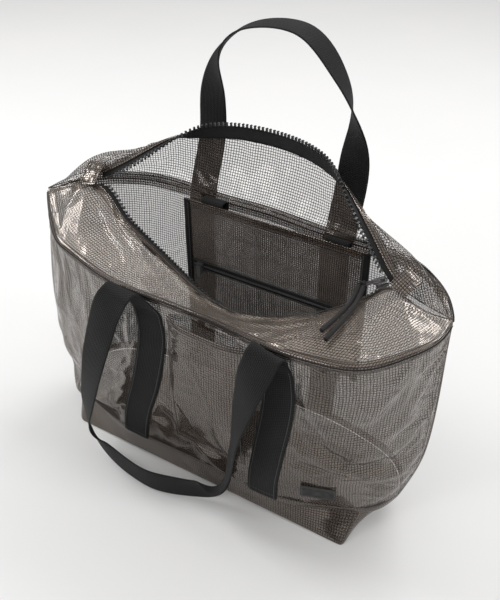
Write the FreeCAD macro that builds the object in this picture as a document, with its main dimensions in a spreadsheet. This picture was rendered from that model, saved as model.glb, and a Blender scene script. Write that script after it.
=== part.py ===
import FreeCAD, Part
import math
import os
from FreeCAD import Vector

# Soft zip-top beach bag in coated mesh, standing open and empty.
# Frame: origin on the floor under the middle of the base, +X along the length
# (to the bag's own left-hand wing as it faces away, the zip's closed end),
# -Y the front, +Z up. Millimetres.

doc = FreeCAD.newDocument("beach_bag")

# ------------------------------------------------------------------ dimensions
sheet = doc.addObject("Spreadsheet::Sheet", "dims")
CELLS = [
    ("base_half_len", 202.0), ("base_half_depth", 72.0), ("band_height", 34.6),
    ("skin", 1.2), ("strap_width", 38.0), ("strap_thick", 2.2), ("strap_lift", 0.7),
    ("leg_thick", 1.8), ("tape_thick", 0.9), ("tape_in", 9.0), ("tape_out", 6.0),
    ("tooth_pitch", 5.0), ("tooth_wide", 2.7), ("tooth_long", 4.4), ("tooth_high", 3.2),
    ("cord_dia", 5.0), ("knot_dia", 9.5),
    ("pocket_left", -107.0), ("pocket_wide", 249.0), ("pocket_top", 304.0),
    ("pocket_deep", 184.0), ("pocket_mid", 76.0), ("pocket_sheet", 0.8),
    ("pocket_gap", 0.5), ("binding_wide", 9.0), ("binding_deep", 5.0),
    ("pocket_zip_z", 214.0), ("pocket_tape_high", 13.0), ("coil_dia", 3.0),
    ("hanger_wide", 31.0), ("hanger_thick", 1.6),
    ("slider_long", 14.0), ("slider_wide", 8.6), ("slider_wide_back", 6.2),
    ("slider_plate", 1.3), ("slider_gap", 3.9), ("slider_post", 3.2),
    ("puller_long", 20.0), ("puller_wide", 8.0), ("puller_thick", 1.4), ("puller_hole", 2.3),
    ("small_slider_long", 9.0), ("small_slider_wide", 8.0), ("small_slider_thick", 3.0),
    ("small_puller_long", 17.0), ("small_puller_wide", 5.5), ("small_puller_thick", 1.4),
    ("patch_long", 41.0), ("patch_high", 26.0), ("patch_thick", 1.3),
    ("slip_thick", 1.1), ("allowance_high", 13.0), ("allowance_thick", 0.9),
    ("tab_long", 37.0), ("tab_wide", 23.0), ("tab_thick", 1.2),
]
for i, (name, value) in enumerate(CELLS, start=1):
    sheet.set("A%d" % i, name)
    sheet.set("B%d" % i, str(value))
    sheet.setAlias("B%d" % i, name)
doc.recompute()


def D(name):
    return float(sheet.get(name))


# ------------------------------------------------------------------ spline maths
def second_derivs(y):
    """Natural cubic through y[0..n-1] at knots 0..n-1."""
    n = len(y)
    if n < 3:
        return [0.0] * n
    c = [0.0] * n
    d = [0.0] * n
    for i in range(1, n - 1):
        rhs = 6.0 * (y[i + 1] - 2.0 * y[i] + y[i - 1])
        m = 4.0 - c[i - 1]
        c[i] = 1.0 / m
        d[i] = (rhs - d[i - 1]) / m
    out = [0.0] * n
    for i in range(n - 2, 0, -1):
        out[i] = d[i] - c[i] * out[i + 1]
    return out


def cubic(y, t, dd=None):
    n = len(y)
    if n == 1:
        return y[0]
    if dd is None:
        dd = second_derivs(y)
    k = min(max(int(math.floor(t)), 0), n - 2)
    f = t - k
    g = 1.0 - f
    return g * y[k] + f * y[k + 1] + ((g ** 3 - g) * dd[k] + (f ** 3 - f) * dd[k + 1]) / 6.0


class Net:
    """Smooth surface through a net of key points, rows[j][i]; s runs along the
    rows and v across them, both 0..1."""

    def __init__(self, rows):
        self.nr = len(rows)
        self.nc = len(rows[0])
        assert all(len(r) == self.nc for r in rows)
        self.rows = rows
        self.dd = [[second_derivs([p[a] for p in r]) for a in range(3)] for r in rows]

    def at(self, s, v):
        t = s * (self.nc - 1)
        out = []
        for a in range(3):
            col = [cubic([p[a] for p in r], t, self.dd[j][a]) for j, r in enumerate(self.rows)]
            out.append(cubic(col, v * (self.nr - 1)))
        return Vector(*out)

    def normal(self, s, v):
        e = 1e-3
        s0, s1 = max(0.0, s - e), min(1.0, s + e)
        v0, v1 = max(0.0, v - e), min(1.0, v + e)
        a = (self.at(s1, v) - self.at(s0, v))
        b = (self.at(s, v1) - self.at(s, v0))
        n = a.cross(b)
        return n.normalize()

    def find(self, x, z):
        """s, v of the surface point with this x and z."""
        s, v = 0.5, 0.5
        for _ in range(60):
            p = self.at(s, v)
            ex, ez = x - p.x, z - p.z
            if abs(ex) + abs(ez) < 0.01:
                break
            e = 1e-3
            ps = (self.at(min(1, s + e), v) - self.at(max(0, s - e), v)) * (1.0 / (min(1, s + e) - max(0, s - e)))
            pv = (self.at(s, min(1, v + e)) - self.at(s, max(0, v - e))) * (1.0 / (min(1, v + e) - max(0, v - e)))
            det = ps.x * pv.z - pv.x * ps.z
            ds = (ex * pv.z - pv.x * ez) / det
            dv = (ps.x * ez - ex * ps.z) / det
            s = min(1.0, max(0.0, s + max(-0.2, min(0.2, ds))))
            v = min(1.0, max(0.0, v + max(-0.2, min(0.2, dv))))
        return s, v


def shell_solid(outer, inner):
    """Closed solid between two matching grids of points."""
    so = Part.BSplineSurface()
    so.interpolate(outer)
    si = Part.BSplineSurface()
    si.interpolate(inner)
    faces = [so.toShape(), si.toShape()]
    u0, u1, v0, v1 = so.bounds()
    a0, a1, b0, b1 = si.bounds()
    for co, ci in ((so.uIso(u0), si.uIso(a0)), (so.uIso(u1), si.uIso(a1)),
                   (so.vIso(v0), si.vIso(b0)), (so.vIso(v1), si.vIso(b1))):
        faces.append(Part.makeRuledSurface(co.toShape(), ci.toShape()))
    comp = Part.makeCompound(faces)
    comp.sewShape(0.01)
    shell = comp.Shells[0] if comp.Shells else Part.Shell(comp.Faces)
    solid = Part.Solid(shell)
    if solid.Volume < 0:
        solid.reverse()
    fixed = Part.Solid(solid.Shells[0]) if not solid.isValid() else solid
    if fixed.Volume < 0:
        fixed.reverse()
    return fixed


def net_grid(net, s_list, v_list, lift):
    return [[net.at(s, v) + net.normal(s, v) * lift for v in v_list] for s in s_list]


def steps(a, b, n):
    return [a + (b - a) * i / (n - 1.0) for i in range(n)]


def thin_net(net, ns, nv, lift_out, lift_in, s0=0.0, s1=1.0, v0=0.0, v1=1.0):
    S, V = steps(s0, s1, ns), steps(v0, v1, nv)
    return shell_solid(net_grid(net, S, V, lift_out), net_grid(net, S, V, lift_in))


PARTS = {}


def add_feature(label, shape):
    f = doc.addObject("Part::Feature", label)
    f.Shape = shape
    f.Label = label
    f.Placement = FreeCAD.Placement()
    PARTS[label] = f
    return f


def keep(obj, label):
    obj.Label = label
    PARTS[label] = obj
    return obj


# ------------------------------------------------------------------ cloth panels
# Front panel, bottom seam to rim, key points left wing to right wing.
SIDE_L = [(-236, 6, 35), (-252, 4, 95), (-258, 2, 150), (-262, 1, 215), (-261, 1, 265), (-259, 0, 306)]
SIDE_R = [(236, 6, 35), (252, 4, 95), (259, 2, 150), (260, 1, 215), (259, 1, 265), (259, 0, 306)]
FRONT = [
    [SIDE_L[0], (-226, -28, 35), (-207, -52, 35), (-180, -61, 35), (-148, -69, 35), (-112, -75, 35), (-56, -76, 35), (0, -75.5, 35), (56, -76, 35), (108, -76, 35), (148, -66, 35), (180, -53, 35), (207, -41, 35), (226, -22, 35), SIDE_R[0]],
    [SIDE_L[1], (-236, -32, 92), (-211, -56, 90), (-182, -68, 90), (-148, -77, 90), (-108, -83, 90), (-54, -84, 90), (0, -83, 90), (56, -85, 90), (108, -87, 90), (150, -82, 90), (186, -70, 90), (215, -52, 90), (238, -28, 92), SIDE_R[1]],
    [SIDE_L[2], (-243, -34, 150), (-218, -59, 150), (-186, -72, 150), (-148, -81, 150), (-106, -87, 150), (-50, -87, 150), (4, -86, 150), (58, -88, 150), (110, -91, 150), (156, -90, 150), (194, -79, 150), (223, -59, 150), (245, -31, 150), SIDE_R[2]],
    [SIDE_L[3], (-246, -32, 212), (-223, -57, 210), (-188, -70, 208), (-149, -79, 207), (-104, -84, 206), (-46, -85, 206), (8, -84, 206), (60, -87, 206), (112, -92, 206), (160, -93, 207), (199, -84, 210), (228, -63, 212), (248, -34, 214), SIDE_R[3]],
    [SIDE_L[4], (-245, -26, 260), (-218, -52, 254), (-184, -65, 250), (-148, -75, 246), (-100, -82, 244), (-42, -83, 243), (12, -83, 243), (62, -86, 243), (114, -93, 245), (162, -95, 248), (204, -86, 254), (234, -62, 260), (252, -32, 264), SIDE_R[4]],
    [SIDE_L[5], (-239, -21, 301), (-206, -51, 292), (-180, -66, 288), (-150, -73, 284), (-98, -83, 279), (-45, -84, 278), (10, -84, 278), (62, -87, 278), (114, -95, 281), (165, -96, 286), (207, -90, 293), (238, -63, 301), (256, -32, 305), SIDE_R[5]],
]
BACK = [
    [SIDE_L[0], (-226, 34, 35), (-207, 54, 35), (-180, 63, 35), (-148, 70, 35), (-108, 75, 35), (-56, 76, 35), (0, 76, 35), (56, 76, 35), (108, 75, 35), (148, 70, 35), (180, 63, 35), (207, 52, 35), (226, 32, 35), SIDE_R[0]],
    [SIDE_L[1], (-239, 35, 95), (-215, 58, 95), (-184, 70, 95), (-148, 78, 95), (-108, 83, 95), (-54, 85, 95), (0, 85, 95), (54, 85, 95), (108, 83, 95), (150, 78, 95), (186, 70, 95), (215, 56, 95), (239, 33, 95), SIDE_R[1]],
    [SIDE_L[2], (-244, 36, 150), (-219, 60, 150), (-186, 74, 150), (-148, 82, 150), (-106, 88, 150), (-54, 90, 150), (0, 90, 150), (54, 90, 150), (110, 88, 150), (154, 82, 150), (190, 73, 150), (220, 58, 150), (244, 35, 150), SIDE_R[2]],
    [SIDE_L[3], (-246, 37, 215), (-222, 62, 215), (-186, 80, 215), (-148, 88, 215), (-106, 92, 215), (-54, 92, 215), (0, 92, 215), (54, 92, 215), (110, 89, 215), (154, 85, 215), (192, 77, 215), (224, 58, 215), (246, 34, 215), SIDE_R[3]],
    [SIDE_L[4], (-245, 38, 265), (-223, 63, 266), (-184, 85, 267), (-146, 92, 267), (-104, 94, 267), (-54, 92, 267), (0, 93, 267), (54, 90, 267), (110, 86, 267), (154, 85, 267), (195, 79, 267), (226, 57, 266), (247, 33, 265), SIDE_R[4]],
    [SIDE_L[5], (-243, 38, 307), (-224, 64, 308), (-182, 88, 308), (-144, 95, 308), (-104, 95, 308), (-54, 93, 307), (0, 94, 307), (54, 89, 307), (110, 85, 308), (156, 85, 308), (196, 78, 308), (226, 54, 308), (247, 28, 307), SIDE_R[5]],
]
front_net = Net(FRONT)
back_net = Net([list(reversed(r)) for r in BACK])   # seen from behind, so normals point out

t = D("skin")
SEAM = 0.003
add_feature("front_panel", thin_net(front_net, 29, 11, 0.0, -t, SEAM, 1 - SEAM))
add_feature("back_panel", thin_net(back_net, 29, 11, 0.0, -t, SEAM, 1 - SEAM))

# Yokes: the top panels that carry the zip, rim seam to folded zip edge.
RIM_GAP = 1.8


def raised(row, dz):
    return [(p[0], p[1], p[2] + dz) for p in row]


F_TOP = [(-258, 0.4, 311), (-229, 1.5, 322), (-187, 11, 331), (-150, 6, 306), (-118, -1, 290), (-60, -14, 270), (-8, -28, 258), (44, -34, 253), (88, -25, 257), (120, -5, 268), (147, 15, 279), (168, 25, 293), (188, 22, 309), (224, 2, 311), (258, 0.4, 311)]
F_RIM = raised([FRONT[5][i] for i in range(15)], RIM_GAP)
F_LOW, F_MID = [], []
for i in range(15):
    a, b = Vector(*F_RIM[i]), Vector(*F_TOP[i])
    k = math.sin(math.pi * i / 14.0) ** 0.5 if 0 < i < 14 else 0.0
    puff = [0, 6, 9, 11, 10, 8, 7, 7, 7, 8, 10, 11, 10, 6, 0][i]
    p = a * 0.67 + b * 0.33 + Vector(0, -0.25 * puff, 0.95 * puff)
    q = a * 0.33 + b * 0.67 + Vector(0, 0, 0.9 * puff)
    F_LOW.append((p.x, p.y, p.z))
    F_MID.append((q.x, q.y, q.z))
front_yoke_net = Net([F_RIM, F_LOW, F_MID, F_TOP])
add_feature("front_yoke", thin_net(front_yoke_net, 33, 9, 0.0, -t))

B_TOP = [(-258, 1.6, 311), (-229, 9, 324), (-192, 25, 337), (-152, 60, 360), (-121, 97, 376), (-68, 118, 385), (0, 124, 386), (69, 107, 381), (119, 76, 360), (158, 50, 333), (189, 32, 311), (226, 12, 310), (258, 1.6, 311)]
B_MID = [(-259, 3.5, 309), (-238, 26, 335), (-207, 46, 356), (-163, 76, 363), (-124, 104, 367), (-68, 115, 367), (0, 119, 367), (69, 107, 365), (122, 87, 355), (165, 68, 341), (199, 47, 327), (231, 24, 317), (259, 3.5, 309)]
B_LOW = [(-260, 5, 308), (-242, 34, 326), (-217, 58, 340), (-172, 84, 342), (-124, 102, 342), (-68, 105, 340), (0, 107, 340), (69, 100, 340), (126, 91, 337), (172, 81, 331), (207, 60, 326), (237, 31, 314), (260, 5, 308)]
B_RIM = [(-259, 2.0, 306.6), (-242, 39, 307.5), (-222, 66, 308.5), (-176, 90, 308.5), (-126, 96, 308.5), (-66, 93, 307.6), (0, 94, 307.5), (66, 88, 307.6), (127, 85, 308.5), (176, 83, 308.5), (212, 67, 308.5), (242, 37, 307.5), (259, 2.0, 306.6)]
back_yoke_net = Net([list(reversed(r)) for r in (B_RIM, B_LOW, B_MID, B_TOP)])
add_feature("back_yoke", thin_net(back_yoke_net, 33, 9, 0.0, -t))

# Doubled seam allowances inside both rims.
ah = D("allowance_high")
for label, net, vv in (("back_rim_allowance", back_net, 1.0 - ah / 272.0),
                       ("front_rim_allowance", front_net, 1.0 - ah / 245.0)):
    add_feature(label, thin_net(net, 25, 3, -t - 0.25, -t - 0.25 - D("allowance_thick"), 0.05, 0.95, vv, 0.995))

# ------------------------------------------------------------------ base tray
BL, BW, BH = D("base_half_len"), D("base_half_depth"), D("band_height")
TRAY = [((-BL, 0), (-236, 6)), ((-BL, -30), (-228, -23)), ((-BL, -52), (-217, -42)), ((-BL, -BW + 6), (-207, -52)), ((-BL + 6, -BW), (-196, -56.5)),
        ((-175, -BW), (-176, -62.4)), ((-145, -BW), (-147, -69.2)), ((-110, -BW), (-112, -75)), ((-56, -BW), (-56, -76)), ((0, -BW), (0, -75.5)), ((56, -BW), (56, -76)),
        ((106, -BW), (108, -76)), ((150, -BW), (146, -66.6)), ((178, -BW), (172, -56.2)), ((BL - 3, -BW), (196, -46)), ((BL, -BW + 3), (207, -41)), ((BL, -46), (217, -33)),
        ((BL, -25), (227, -20)), ((BL, 0), (236, 6)),
        ((BL, 30), (227, 31)), ((BL, 52), (217, 43)), ((BL, BW - 6), (207, 52)), ((BL - 6, BW), (196, 57.5)), ((175, BW), (176, 64)), ((140, BW), (142, 71)), ((100, BW), (102, 75.3)),
        ((50, BW), (52, 76)), ((0, BW), (0, 76)), ((-50, BW), (-52, 76)), ((-100, BW), (-102, 75.3)), ((-140, BW), (-142, 71)), ((-175, BW), (-176, 64)), ((-BL + 6, BW), (-196, 58)),
        ((-BL, BW - 6), (-207, 54)), ((-BL, 52), (-217, 45)), ((-BL, 30), (-227, 33))]


def tray_wire(k, z, inset):
    pts = []
    for pair in TRAY:
        x, y = pair[k]
        r = math.hypot(x / 3.0, y)
        nx, ny = (x / 9.0) / max(r, 1e-6), y / max(r, 1e-6)
        n = math.hypot(nx, ny)
        # walls along the sides move in along X, those along the front and back along Y
        if abs(x) > 186:
            nx, ny = math.copysign(1.0, x), (math.copysign(0.7, y) if abs(y) > 40 else 0.0)
        else:
            nx, ny = 0.0, math.copysign(1.0, y)
        n = math.hypot(nx, ny)
        pts.append(Vector(x - inset * nx / n, y - inset * ny / n, z))
    return Part.makePolygon(pts + [pts[0]])


outer = Part.makeLoft([tray_wire(0, 0.0, 0.0), tray_wire(1, BH, 0.0)], True, True)
wall = D("skin") * 1.25
inner = Part.makeLoft([tray_wire(0, wall, wall), tray_wire(1, BH + 1.0, wall)], True, True)
add_feature("base_panel", outer.cut(inner))

# ------------------------------------------------------------------ straps
SW, ST = D("strap_width"), D("strap_thick")


def strip_on(net, path, width, lift0, lift1, n=15, across=3, tongue=()):
    """Strip of webbing lying on a panel along a path of (x, z) centre points."""
    xs, zs = [p[0] for p in path], [p[1] for p in path]
    go, gi = [], []
    for i in range(n):
        k = i * (len(path) - 1.0) / (n - 1.0)
        x, z = cubic(xs, k), cubic(zs, k)
        ro, ri = [], []
        for j in range(across):
            off = (j / (across - 1.0) - 0.5) * width
            s, v = net.find(x + off, z)
            p, nn = net.at(s, v), net.normal(s, v)
            ro.append(p + nn * lift1)
            ri.append(p + nn * lift0)
        go.append(ro)
        gi.append(ri)
    # free end of the webbing, clear of the panel, up to the fold
    for x, y, z in tongue:
        th = lift1 - lift0
        go.append([Vector(x + k * width / 2.0, y - th / 2.0, z) for k in (-1, 0, 1)])
        gi.append([Vector(x + k * width / 2.0, y + th / 2.0, z) for k in (-1, 0, 1)])
    return shell_solid(go, gi)


LT, LL = D("leg_thick"), D("strap_lift")
F_LEG_L = [(-91, 37.5), (-84, 67), (-72, 106), (-60, 140), (-51, 174), (-45, 205), (-43, 234), (-48, 260)]
F_LEG_R = [(97, 37.5), (101, 72), (107, 106), (113, 140), (119, 175), (123, 206), (124, 234), (121.5, 258)]
add_feature("front_handle_left_leg", strip_on(front_net, F_LEG_L, SW, LL, LL + LT, tongue=[(-51, -87.3, 266.5), (-56, -89.8, 273), (-59.5, -91.8, 277.0), (-61.5, -92.9, 280.0)]))
add_feature("front_handle_right_leg", strip_on(front_net, F_LEG_R, SW, LL, LL + LT, tongue=[(119.5, -98.4, 265.5), (117, -100.0, 272), (115, -101.3, 279)]))
B_LEG = [(0, 37.5), (0, 100), (0, 165), (0, 230), (0, 292)]
add_feature("back_handle_left_leg", strip_on(back_net, [(-94, z) for _, z in B_LEG], SW, LL, LL + LT))
add_feature("back_handle_right_leg", strip_on(back_net, [(93, z) for _, z in B_LEG], SW, LL, LL + LT))


def ribbon(stations, width, thick, dense=3):
    """Free webbing: stations of centre point and width direction."""
    n = len(stations)
    cx = [[s[0][a] for s in stations] for a in range(3)]
    wx = [[s[1][a] for s in stations] for a in range(3)]
    dc = [second_derivs(c) for c in cx]
    dw = [second_derivs(c) for c in wx]
    m = (n - 1) * dense + 1
    C = [Vector(*[cubic(cx[a], i / float(dense), dc[a]) for a in range(3)]) for i in range(m)]
    W = [Vector(*[cubic(wx[a], i / float(dense), dw[a]) for a in range(3)]) for i in range(m)]
    wires = []
    for i in range(m):
        tan = (C[min(m - 1, i + 1)] - C[max(0, i - 1)]).normalize()
        w = (W[i] - tan * W[i].dot(tan)).normalize()
        nn = tan.cross(w).normalize()
        q = [C[i] + w * (a * width / 2.0) + nn * (b * thick / 2.0) for a, b in ((-1, -1), (1, -1), (1, 1), (-1, 1))]
        wires.append(Part.makePolygon(q + [q[0]]))
    return Part.makeLoft(wires, True, False), C


def hz(deg):
    return (math.cos(math.radians(deg)), math.sin(math.radians(deg)), 0.0)


FRONT_LOOP = [
    ((-67.0, -96.5, 286.6), (1, 0, 0)), ((-67.8, -102, 286.8), (1, 0, 0)), ((-72.2, -108.5, 279), (1, 0, 0)), ((-80, -112.5, 264), (1, 0, 0)), ((-87, -115, 245), hz(-3)), ((-97, -118, 212), hz(-8)),
    ((-107, -120, 176), hz(-15)), ((-119, -120, 136), hz(-24)), ((-129, -118, 100), hz(-33)), ((-135, -114, 70), (0.70, -0.62, 0.22)),
    ((-134, -110, 45), (0.52, -0.48, 0.62)), ((-122, -109, 27), (0.25, -0.28, 0.92)), ((-100, -112, 20), (0.08, -0.14, 0.99)), ((-70, -117, 19.6), (0.0, -0.12, 0.99)),
    ((-40, -119, 19.6), (0, -0.12, 0.99)), ((-12, -112, 19.6), (0, -0.12, 0.99)), ((14, -101, 20), (0.05, -0.16, 0.98)), ((36, -97, 29), (0.15, -0.35, 0.9)),
    ((52, -100, 48), (0.32, -0.62, 0.66)), ((64, -106, 76), (0.45, -0.80, 0.3)), ((73, -110, 108), hz(-56)), ((80, -113, 142), hz(-54)), ((86, -116, 174), hz(-47)),
    ((92, -117, 206), hz(-34)), ((99, -118, 234), hz(-22)), ((105, -117, 254), hz(-10)), ((110, -114, 270), hz(-3)), ((113.2, -109.5, 281), (1, 0, 0)), ((115, -104, 284.4), (1, 0, 0)),
]
BACK_LOOP = [
    ((-96, 101.5, 299), (1, 0, 0)), ((-97, 108, 316), (1, 0, 0)), ((-98, 118, 336), (1, 0, 0)), ((-99, 128, 358), (1, 0, 0)), ((-100, 134, 384), (1, 0, 0)), ((-100, 136, 412), hz(-4)),
    ((-97, 136, 438), hz(-22)), ((-92, 136, 461), hz(-48)), ((-81, 136, 481), hz(-72)), ((-62, 136, 498), hz(-86)), ((-35, 136, 509.5), hz(-90)), ((-5, 136, 514.5), hz(-90)),
    ((21, 136, 510.5), hz(-90)), ((44, 136, 494), hz(-90)), ((61, 136, 474), hz(-84)), ((73, 136, 455), hz(-74)), ((81, 136, 434), hz(-60)), ((86, 136, 411), hz(-38)),
    ((89, 134, 387), hz(-14)), ((91, 128, 360), (1, 0, 0)), ((92, 118, 336), (1, 0, 0)), ((93, 107, 315), (1, 0, 0)), ((93, 99.5, 299), (1, 0, 0)),
]
solid, line_f = ribbon(FRONT_LOOP, SW, ST)
add_feature("front_handle_loop", solid)
solid, line_b = ribbon(BACK_LOOP, SW, ST)
add_feature("back_handle_loop", solid)
for name, ln in (("front", line_f), ("back", line_b)):
    print(name, "handle loop length", round(sum((ln[i + 1] - ln[i]).Length for i in range(len(ln) - 1)), 1))

# ------------------------------------------------------------------ zip tapes and teeth
TT, TI, TO = D("tape_thick"), D("tape_in"), D("tape_out")


def edge_frames(net, s0, s1, n):
    """Points along a yoke's zip edge with the outward run of the cloth there and its normal."""
    out = []
    for s in steps(s0, s1, n):
        p = net.at(s, 1.0)
        run = (p - net.at(s, 0.93)).normalize()
        nn = net.normal(s, 1.0)
        along = (net.at(min(1, s + 0.004), 1.0) - net.at(max(0, s - 0.004), 1.0)).normalize()
        out.append((p, run, nn, along, s))
    return out


def tape_solid(net, s0, s1):
    go, gi = [], []
    for p, run, nn, along, s in edge_frames(net, s0, s1, 41):
        ro, ri = [], []
        for k in (-TI, -TI * 0.4, 0.8, TO):
            off = -t - 0.35
            if k < 0:
                high = (net.at(s, 1.0) - net.at(s, 0.9)).Length / 0.1
                vk = 1.0 + k / high
                base, nk = net.at(s, vk), net.normal(s, vk)
            else:
                base, nk = p + run * k, nn
            ro.append(base + nk * off)
            ri.append(base + nk * (off - TT))
        go.append(ro)
        gi.append(ri)
    return shell_solid(go, gi)


def teeth(net, s0, s1):
    fr = edge_frames(net, s0, s1, 400)
    dist = [0.0]
    for i in range(1, len(fr)):
        dist.append(dist[-1] + (fr[i][0] - fr[i - 1][0]).Length)
    pitch, tw, tl, th = D("tooth_pitch"), D("tooth_wide"), D("tooth_long"), D("tooth_high")
    count = int(dist[-1] // pitch)
    out = []
    for c in range(count):
        want = (c + 0.5) * dist[-1] / count
        i = next(j for j in range(len(dist)) if dist[j] >= want)
        p, run, nn, along, s = fr[i]
        zax = (nn - run * nn.dot(run)).normalize()
        yax = run
        xax = yax.cross(zax).normalize()
        centre = p + run * (TO + 0.9) - zax * (t + 0.3 + TT / 2.0)
        b = Part.makeBox(tw, tl, th, Vector(-tw / 2.0, 0, -th / 2.0))
        m = FreeCAD.Matrix(xax.x, yax.x, zax.x, centre.x, xax.y, yax.y, zax.y, centre.y, xax.z, yax.z, zax.z, centre.z, 0, 0, 0, 1)
        b.transformShape(m, True)
        out.append(b)
    return Part.makeCompound(out), dist[-1], count


# the zip runs between the end tabs: columns 2..12 of 14 on the front, 2..10 of 12 on the back
fz0, fz1 = 2.05 / 14, 11.85 / 14
bz0, bz1 = 2.15 / 12, 9.95 / 12
add_feature("front_zip_tape", tape_solid(front_yoke_net, fz0, fz1))
add_feature("back_zip_tape", tape_solid(back_yoke_net, bz0, bz1))
comp, flen, fcount = teeth(front_yoke_net, fz0 + 0.008, fz1 - 0.02)
add_feature("front_zip_teeth", comp)
comp, blen, bcount = teeth(back_yoke_net, bz0 + 0.028, bz1 - 0.008)
add_feature("back_zip_teeth", comp)
print("zip edge lengths", round(flen, 1), round(blen, 1), "teeth", fcount, bcount)

# ------------------------------------------------------------------ end tabs folded over the zip ends
def tab_solid(corners, rise):
    """corners: front-near, front-far, back-far, back-near, as seen from above."""
    a, b, c, d = [Vector(*q) for q in corners]
    nn = (b - a).cross(d - a).normalize()
    if nn.z < 0:
        nn = nn * -1
    go, gi = [], []
    for i in range(7):
        f = i / 6.0
        ro, ri = [], []
        for j in range(5):
            g = j / 4.0
            p = a * (1 - f) * (1 - g) + b * f * (1 - g) + c * f * g + d * (1 - f) * g
            bow = rise * (1 - (2 * g - 1) ** 2) * (0.4 + 0.6 * f)
            ro.append(p + nn * (bow + D("tab_thick")))
            ri.append(p + nn * bow)
        go.append(ro)
        gi.append(ri)
    return shell_solid(go, gi)


TAB_L = [(-178, -2, 337), (-200, -3, 331), (-206, 26, 350), (-184, 30, 351)]
TAB_R = [(188.5, 10.8, 321.4), (209.1, 0.7, 316.6), (217.8, 25.6, 324.2), (198, 36, 331)]
add_feature("left_end_tab", tab_solid(TAB_L, 3.0))
add_feature("right_end_tab", tab_solid(TAB_R, 3.0))

# ------------------------------------------------------------------ slip pocket and patch
slip_rows = []
SLIP_X = [-20, 0, 20, 40, 60, 78]
SLIP_Z = [80, 130, 180, 225, 262]
GAPE = [0.6, 3.5, 7.0, 9.0, 9.5]
for z, gape in zip(SLIP_Z, GAPE):
    row = []
    for i, x in enumerate(SLIP_X):
        s, v = front_net.find(x, z)
        e = [0.06, 0.8, 1.0, 1.0, 0.8, 0.06][i]
        p = front_net.at(s, v) + front_net.normal(s, v) * (0.5 + gape * e)
        row.append((p.x, p.y, p.z))
    slip_rows.append(row)
slip_net = Net(slip_rows)
add_feature("front_slip_pocket", thin_net(slip_net, 15, 9, D("slip_thick"), 0.0))

patch = doc.addObject("PartDesign::Body", "patch_body")
xz = [f for f in patch.Origin.OriginFeatures if f.Role == "XZ_Plane"][0]
sk = patch.newObject("Sketcher::SketchObject", "patch_outline")
sk.AttachmentSupport = [(xz, "")]
sk.MapMode = "FlatFace"


def rounded_outline(sk, hx, hy, r):
    """Rounded rectangle about the sketch origin, lines then corner arcs."""
    L, A = Part.LineSegment, Part.ArcOfCircle
    V0 = Vector
    sk.addGeometry(L(V0(-hx + r, -hy, 0), V0(hx - r, -hy, 0)), False)
    sk.addGeometry(A(Part.Circle(V0(hx - r, -hy + r, 0), V0(0, 0, 1), r), -math.pi / 2, 0), False)
    sk.addGeometry(L(V0(hx, -hy + r, 0), V0(hx, hy - r, 0)), False)
    sk.addGeometry(A(Part.Circle(V0(hx - r, hy - r, 0), V0(0, 0, 1), r), 0, math.pi / 2), False)
    sk.addGeometry(L(V0(hx - r, hy, 0), V0(-hx + r, hy, 0)), False)
    sk.addGeometry(A(Part.Circle(V0(-hx + r, hy - r, 0), V0(0, 0, 1), r), math.pi / 2, math.pi), False)
    sk.addGeometry(L(V0(-hx, hy - r, 0), V0(-hx, -hy + r, 0)), False)
    sk.addGeometry(A(Part.Circle(V0(-hx + r, -hy + r, 0), V0(0, 0, 1), r), math.pi, 1.5 * math.pi), False)


rounded_outline(sk, D("patch_long") / 2, D("patch_high") / 2, 1.5)
pad = patch.newObject("PartDesign::Pad", "patch_pad")
pad.Profile = sk
pad.Length = 1.3
pad.setExpression("Length", "dims.patch_thick")
pad.Midplane = True
doc.recompute()
s, v = front_net.find(167, 80)
pp, pn = front_net.at(s, v), front_net.normal(s, v)
right_dir = (front_net.at(s + 0.01, v) - front_net.at(s - 0.01, v)).normalize()
up_dir = pn.cross(right_dir).normalize() * 1.0
if up_dir.z < 0:
    up_dir = up_dir * -1
back_dir = right_dir.cross(up_dir).normalize() * 1.0
pc = pp + pn * (D("patch_thick") / 2 + 1.0)
# body X along the seam, body Z up the panel, body -Y out of it
yb = (pn * -1).normalize()
rot = FreeCAD.Rotation(right_dir, yb, up_dir, "XZY")
patch.Placement = FreeCAD.Placement(pc, rot)
keep(patch, "label_patch")

# ------------------------------------------------------------------ main slider
# Local frame: X along the chain towards the closed end, Y across it, Z away from the tape.
SLIDER_AT = Vector(175.0, 27.8, 306.3)
SLIDER_ROT = FreeCAD.Rotation(Vector(0.84, 0.20, 0.50), Vector(0, 0, 0), Vector(-0.50, 0.0, 0.86), "XZY")
slider = doc.addObject("PartDesign::Body", "slider_body")


def origin_plane(body, role):
    return [f for f in body.Origin.OriginFeatures if f.Role == role][0]


def pad_polygon(body, name, pts, length_expr, z0):
    sk = body.newObject("Sketcher::SketchObject", name + "_sk")
    sk.AttachmentSupport = [(origin_plane(body, "XY_Plane"), "")]
    sk.MapMode = "FlatFace"
    sk.AttachmentOffset = FreeCAD.Placement(Vector(0, 0, z0), FreeCAD.Rotation())
    for i in range(len(pts)):
        a, b = pts[i], pts[(i + 1) % len(pts)]
        sk.addGeometry(Part.LineSegment(Vector(a[0], a[1], 0), Vector(b[0], b[1], 0)), False)
    pd = body.newObject("PartDesign::Pad", name)
    pd.Profile = sk
    pd.Length = 1.0
    pd.setExpression("Length", length_expr)
    return pd


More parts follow.
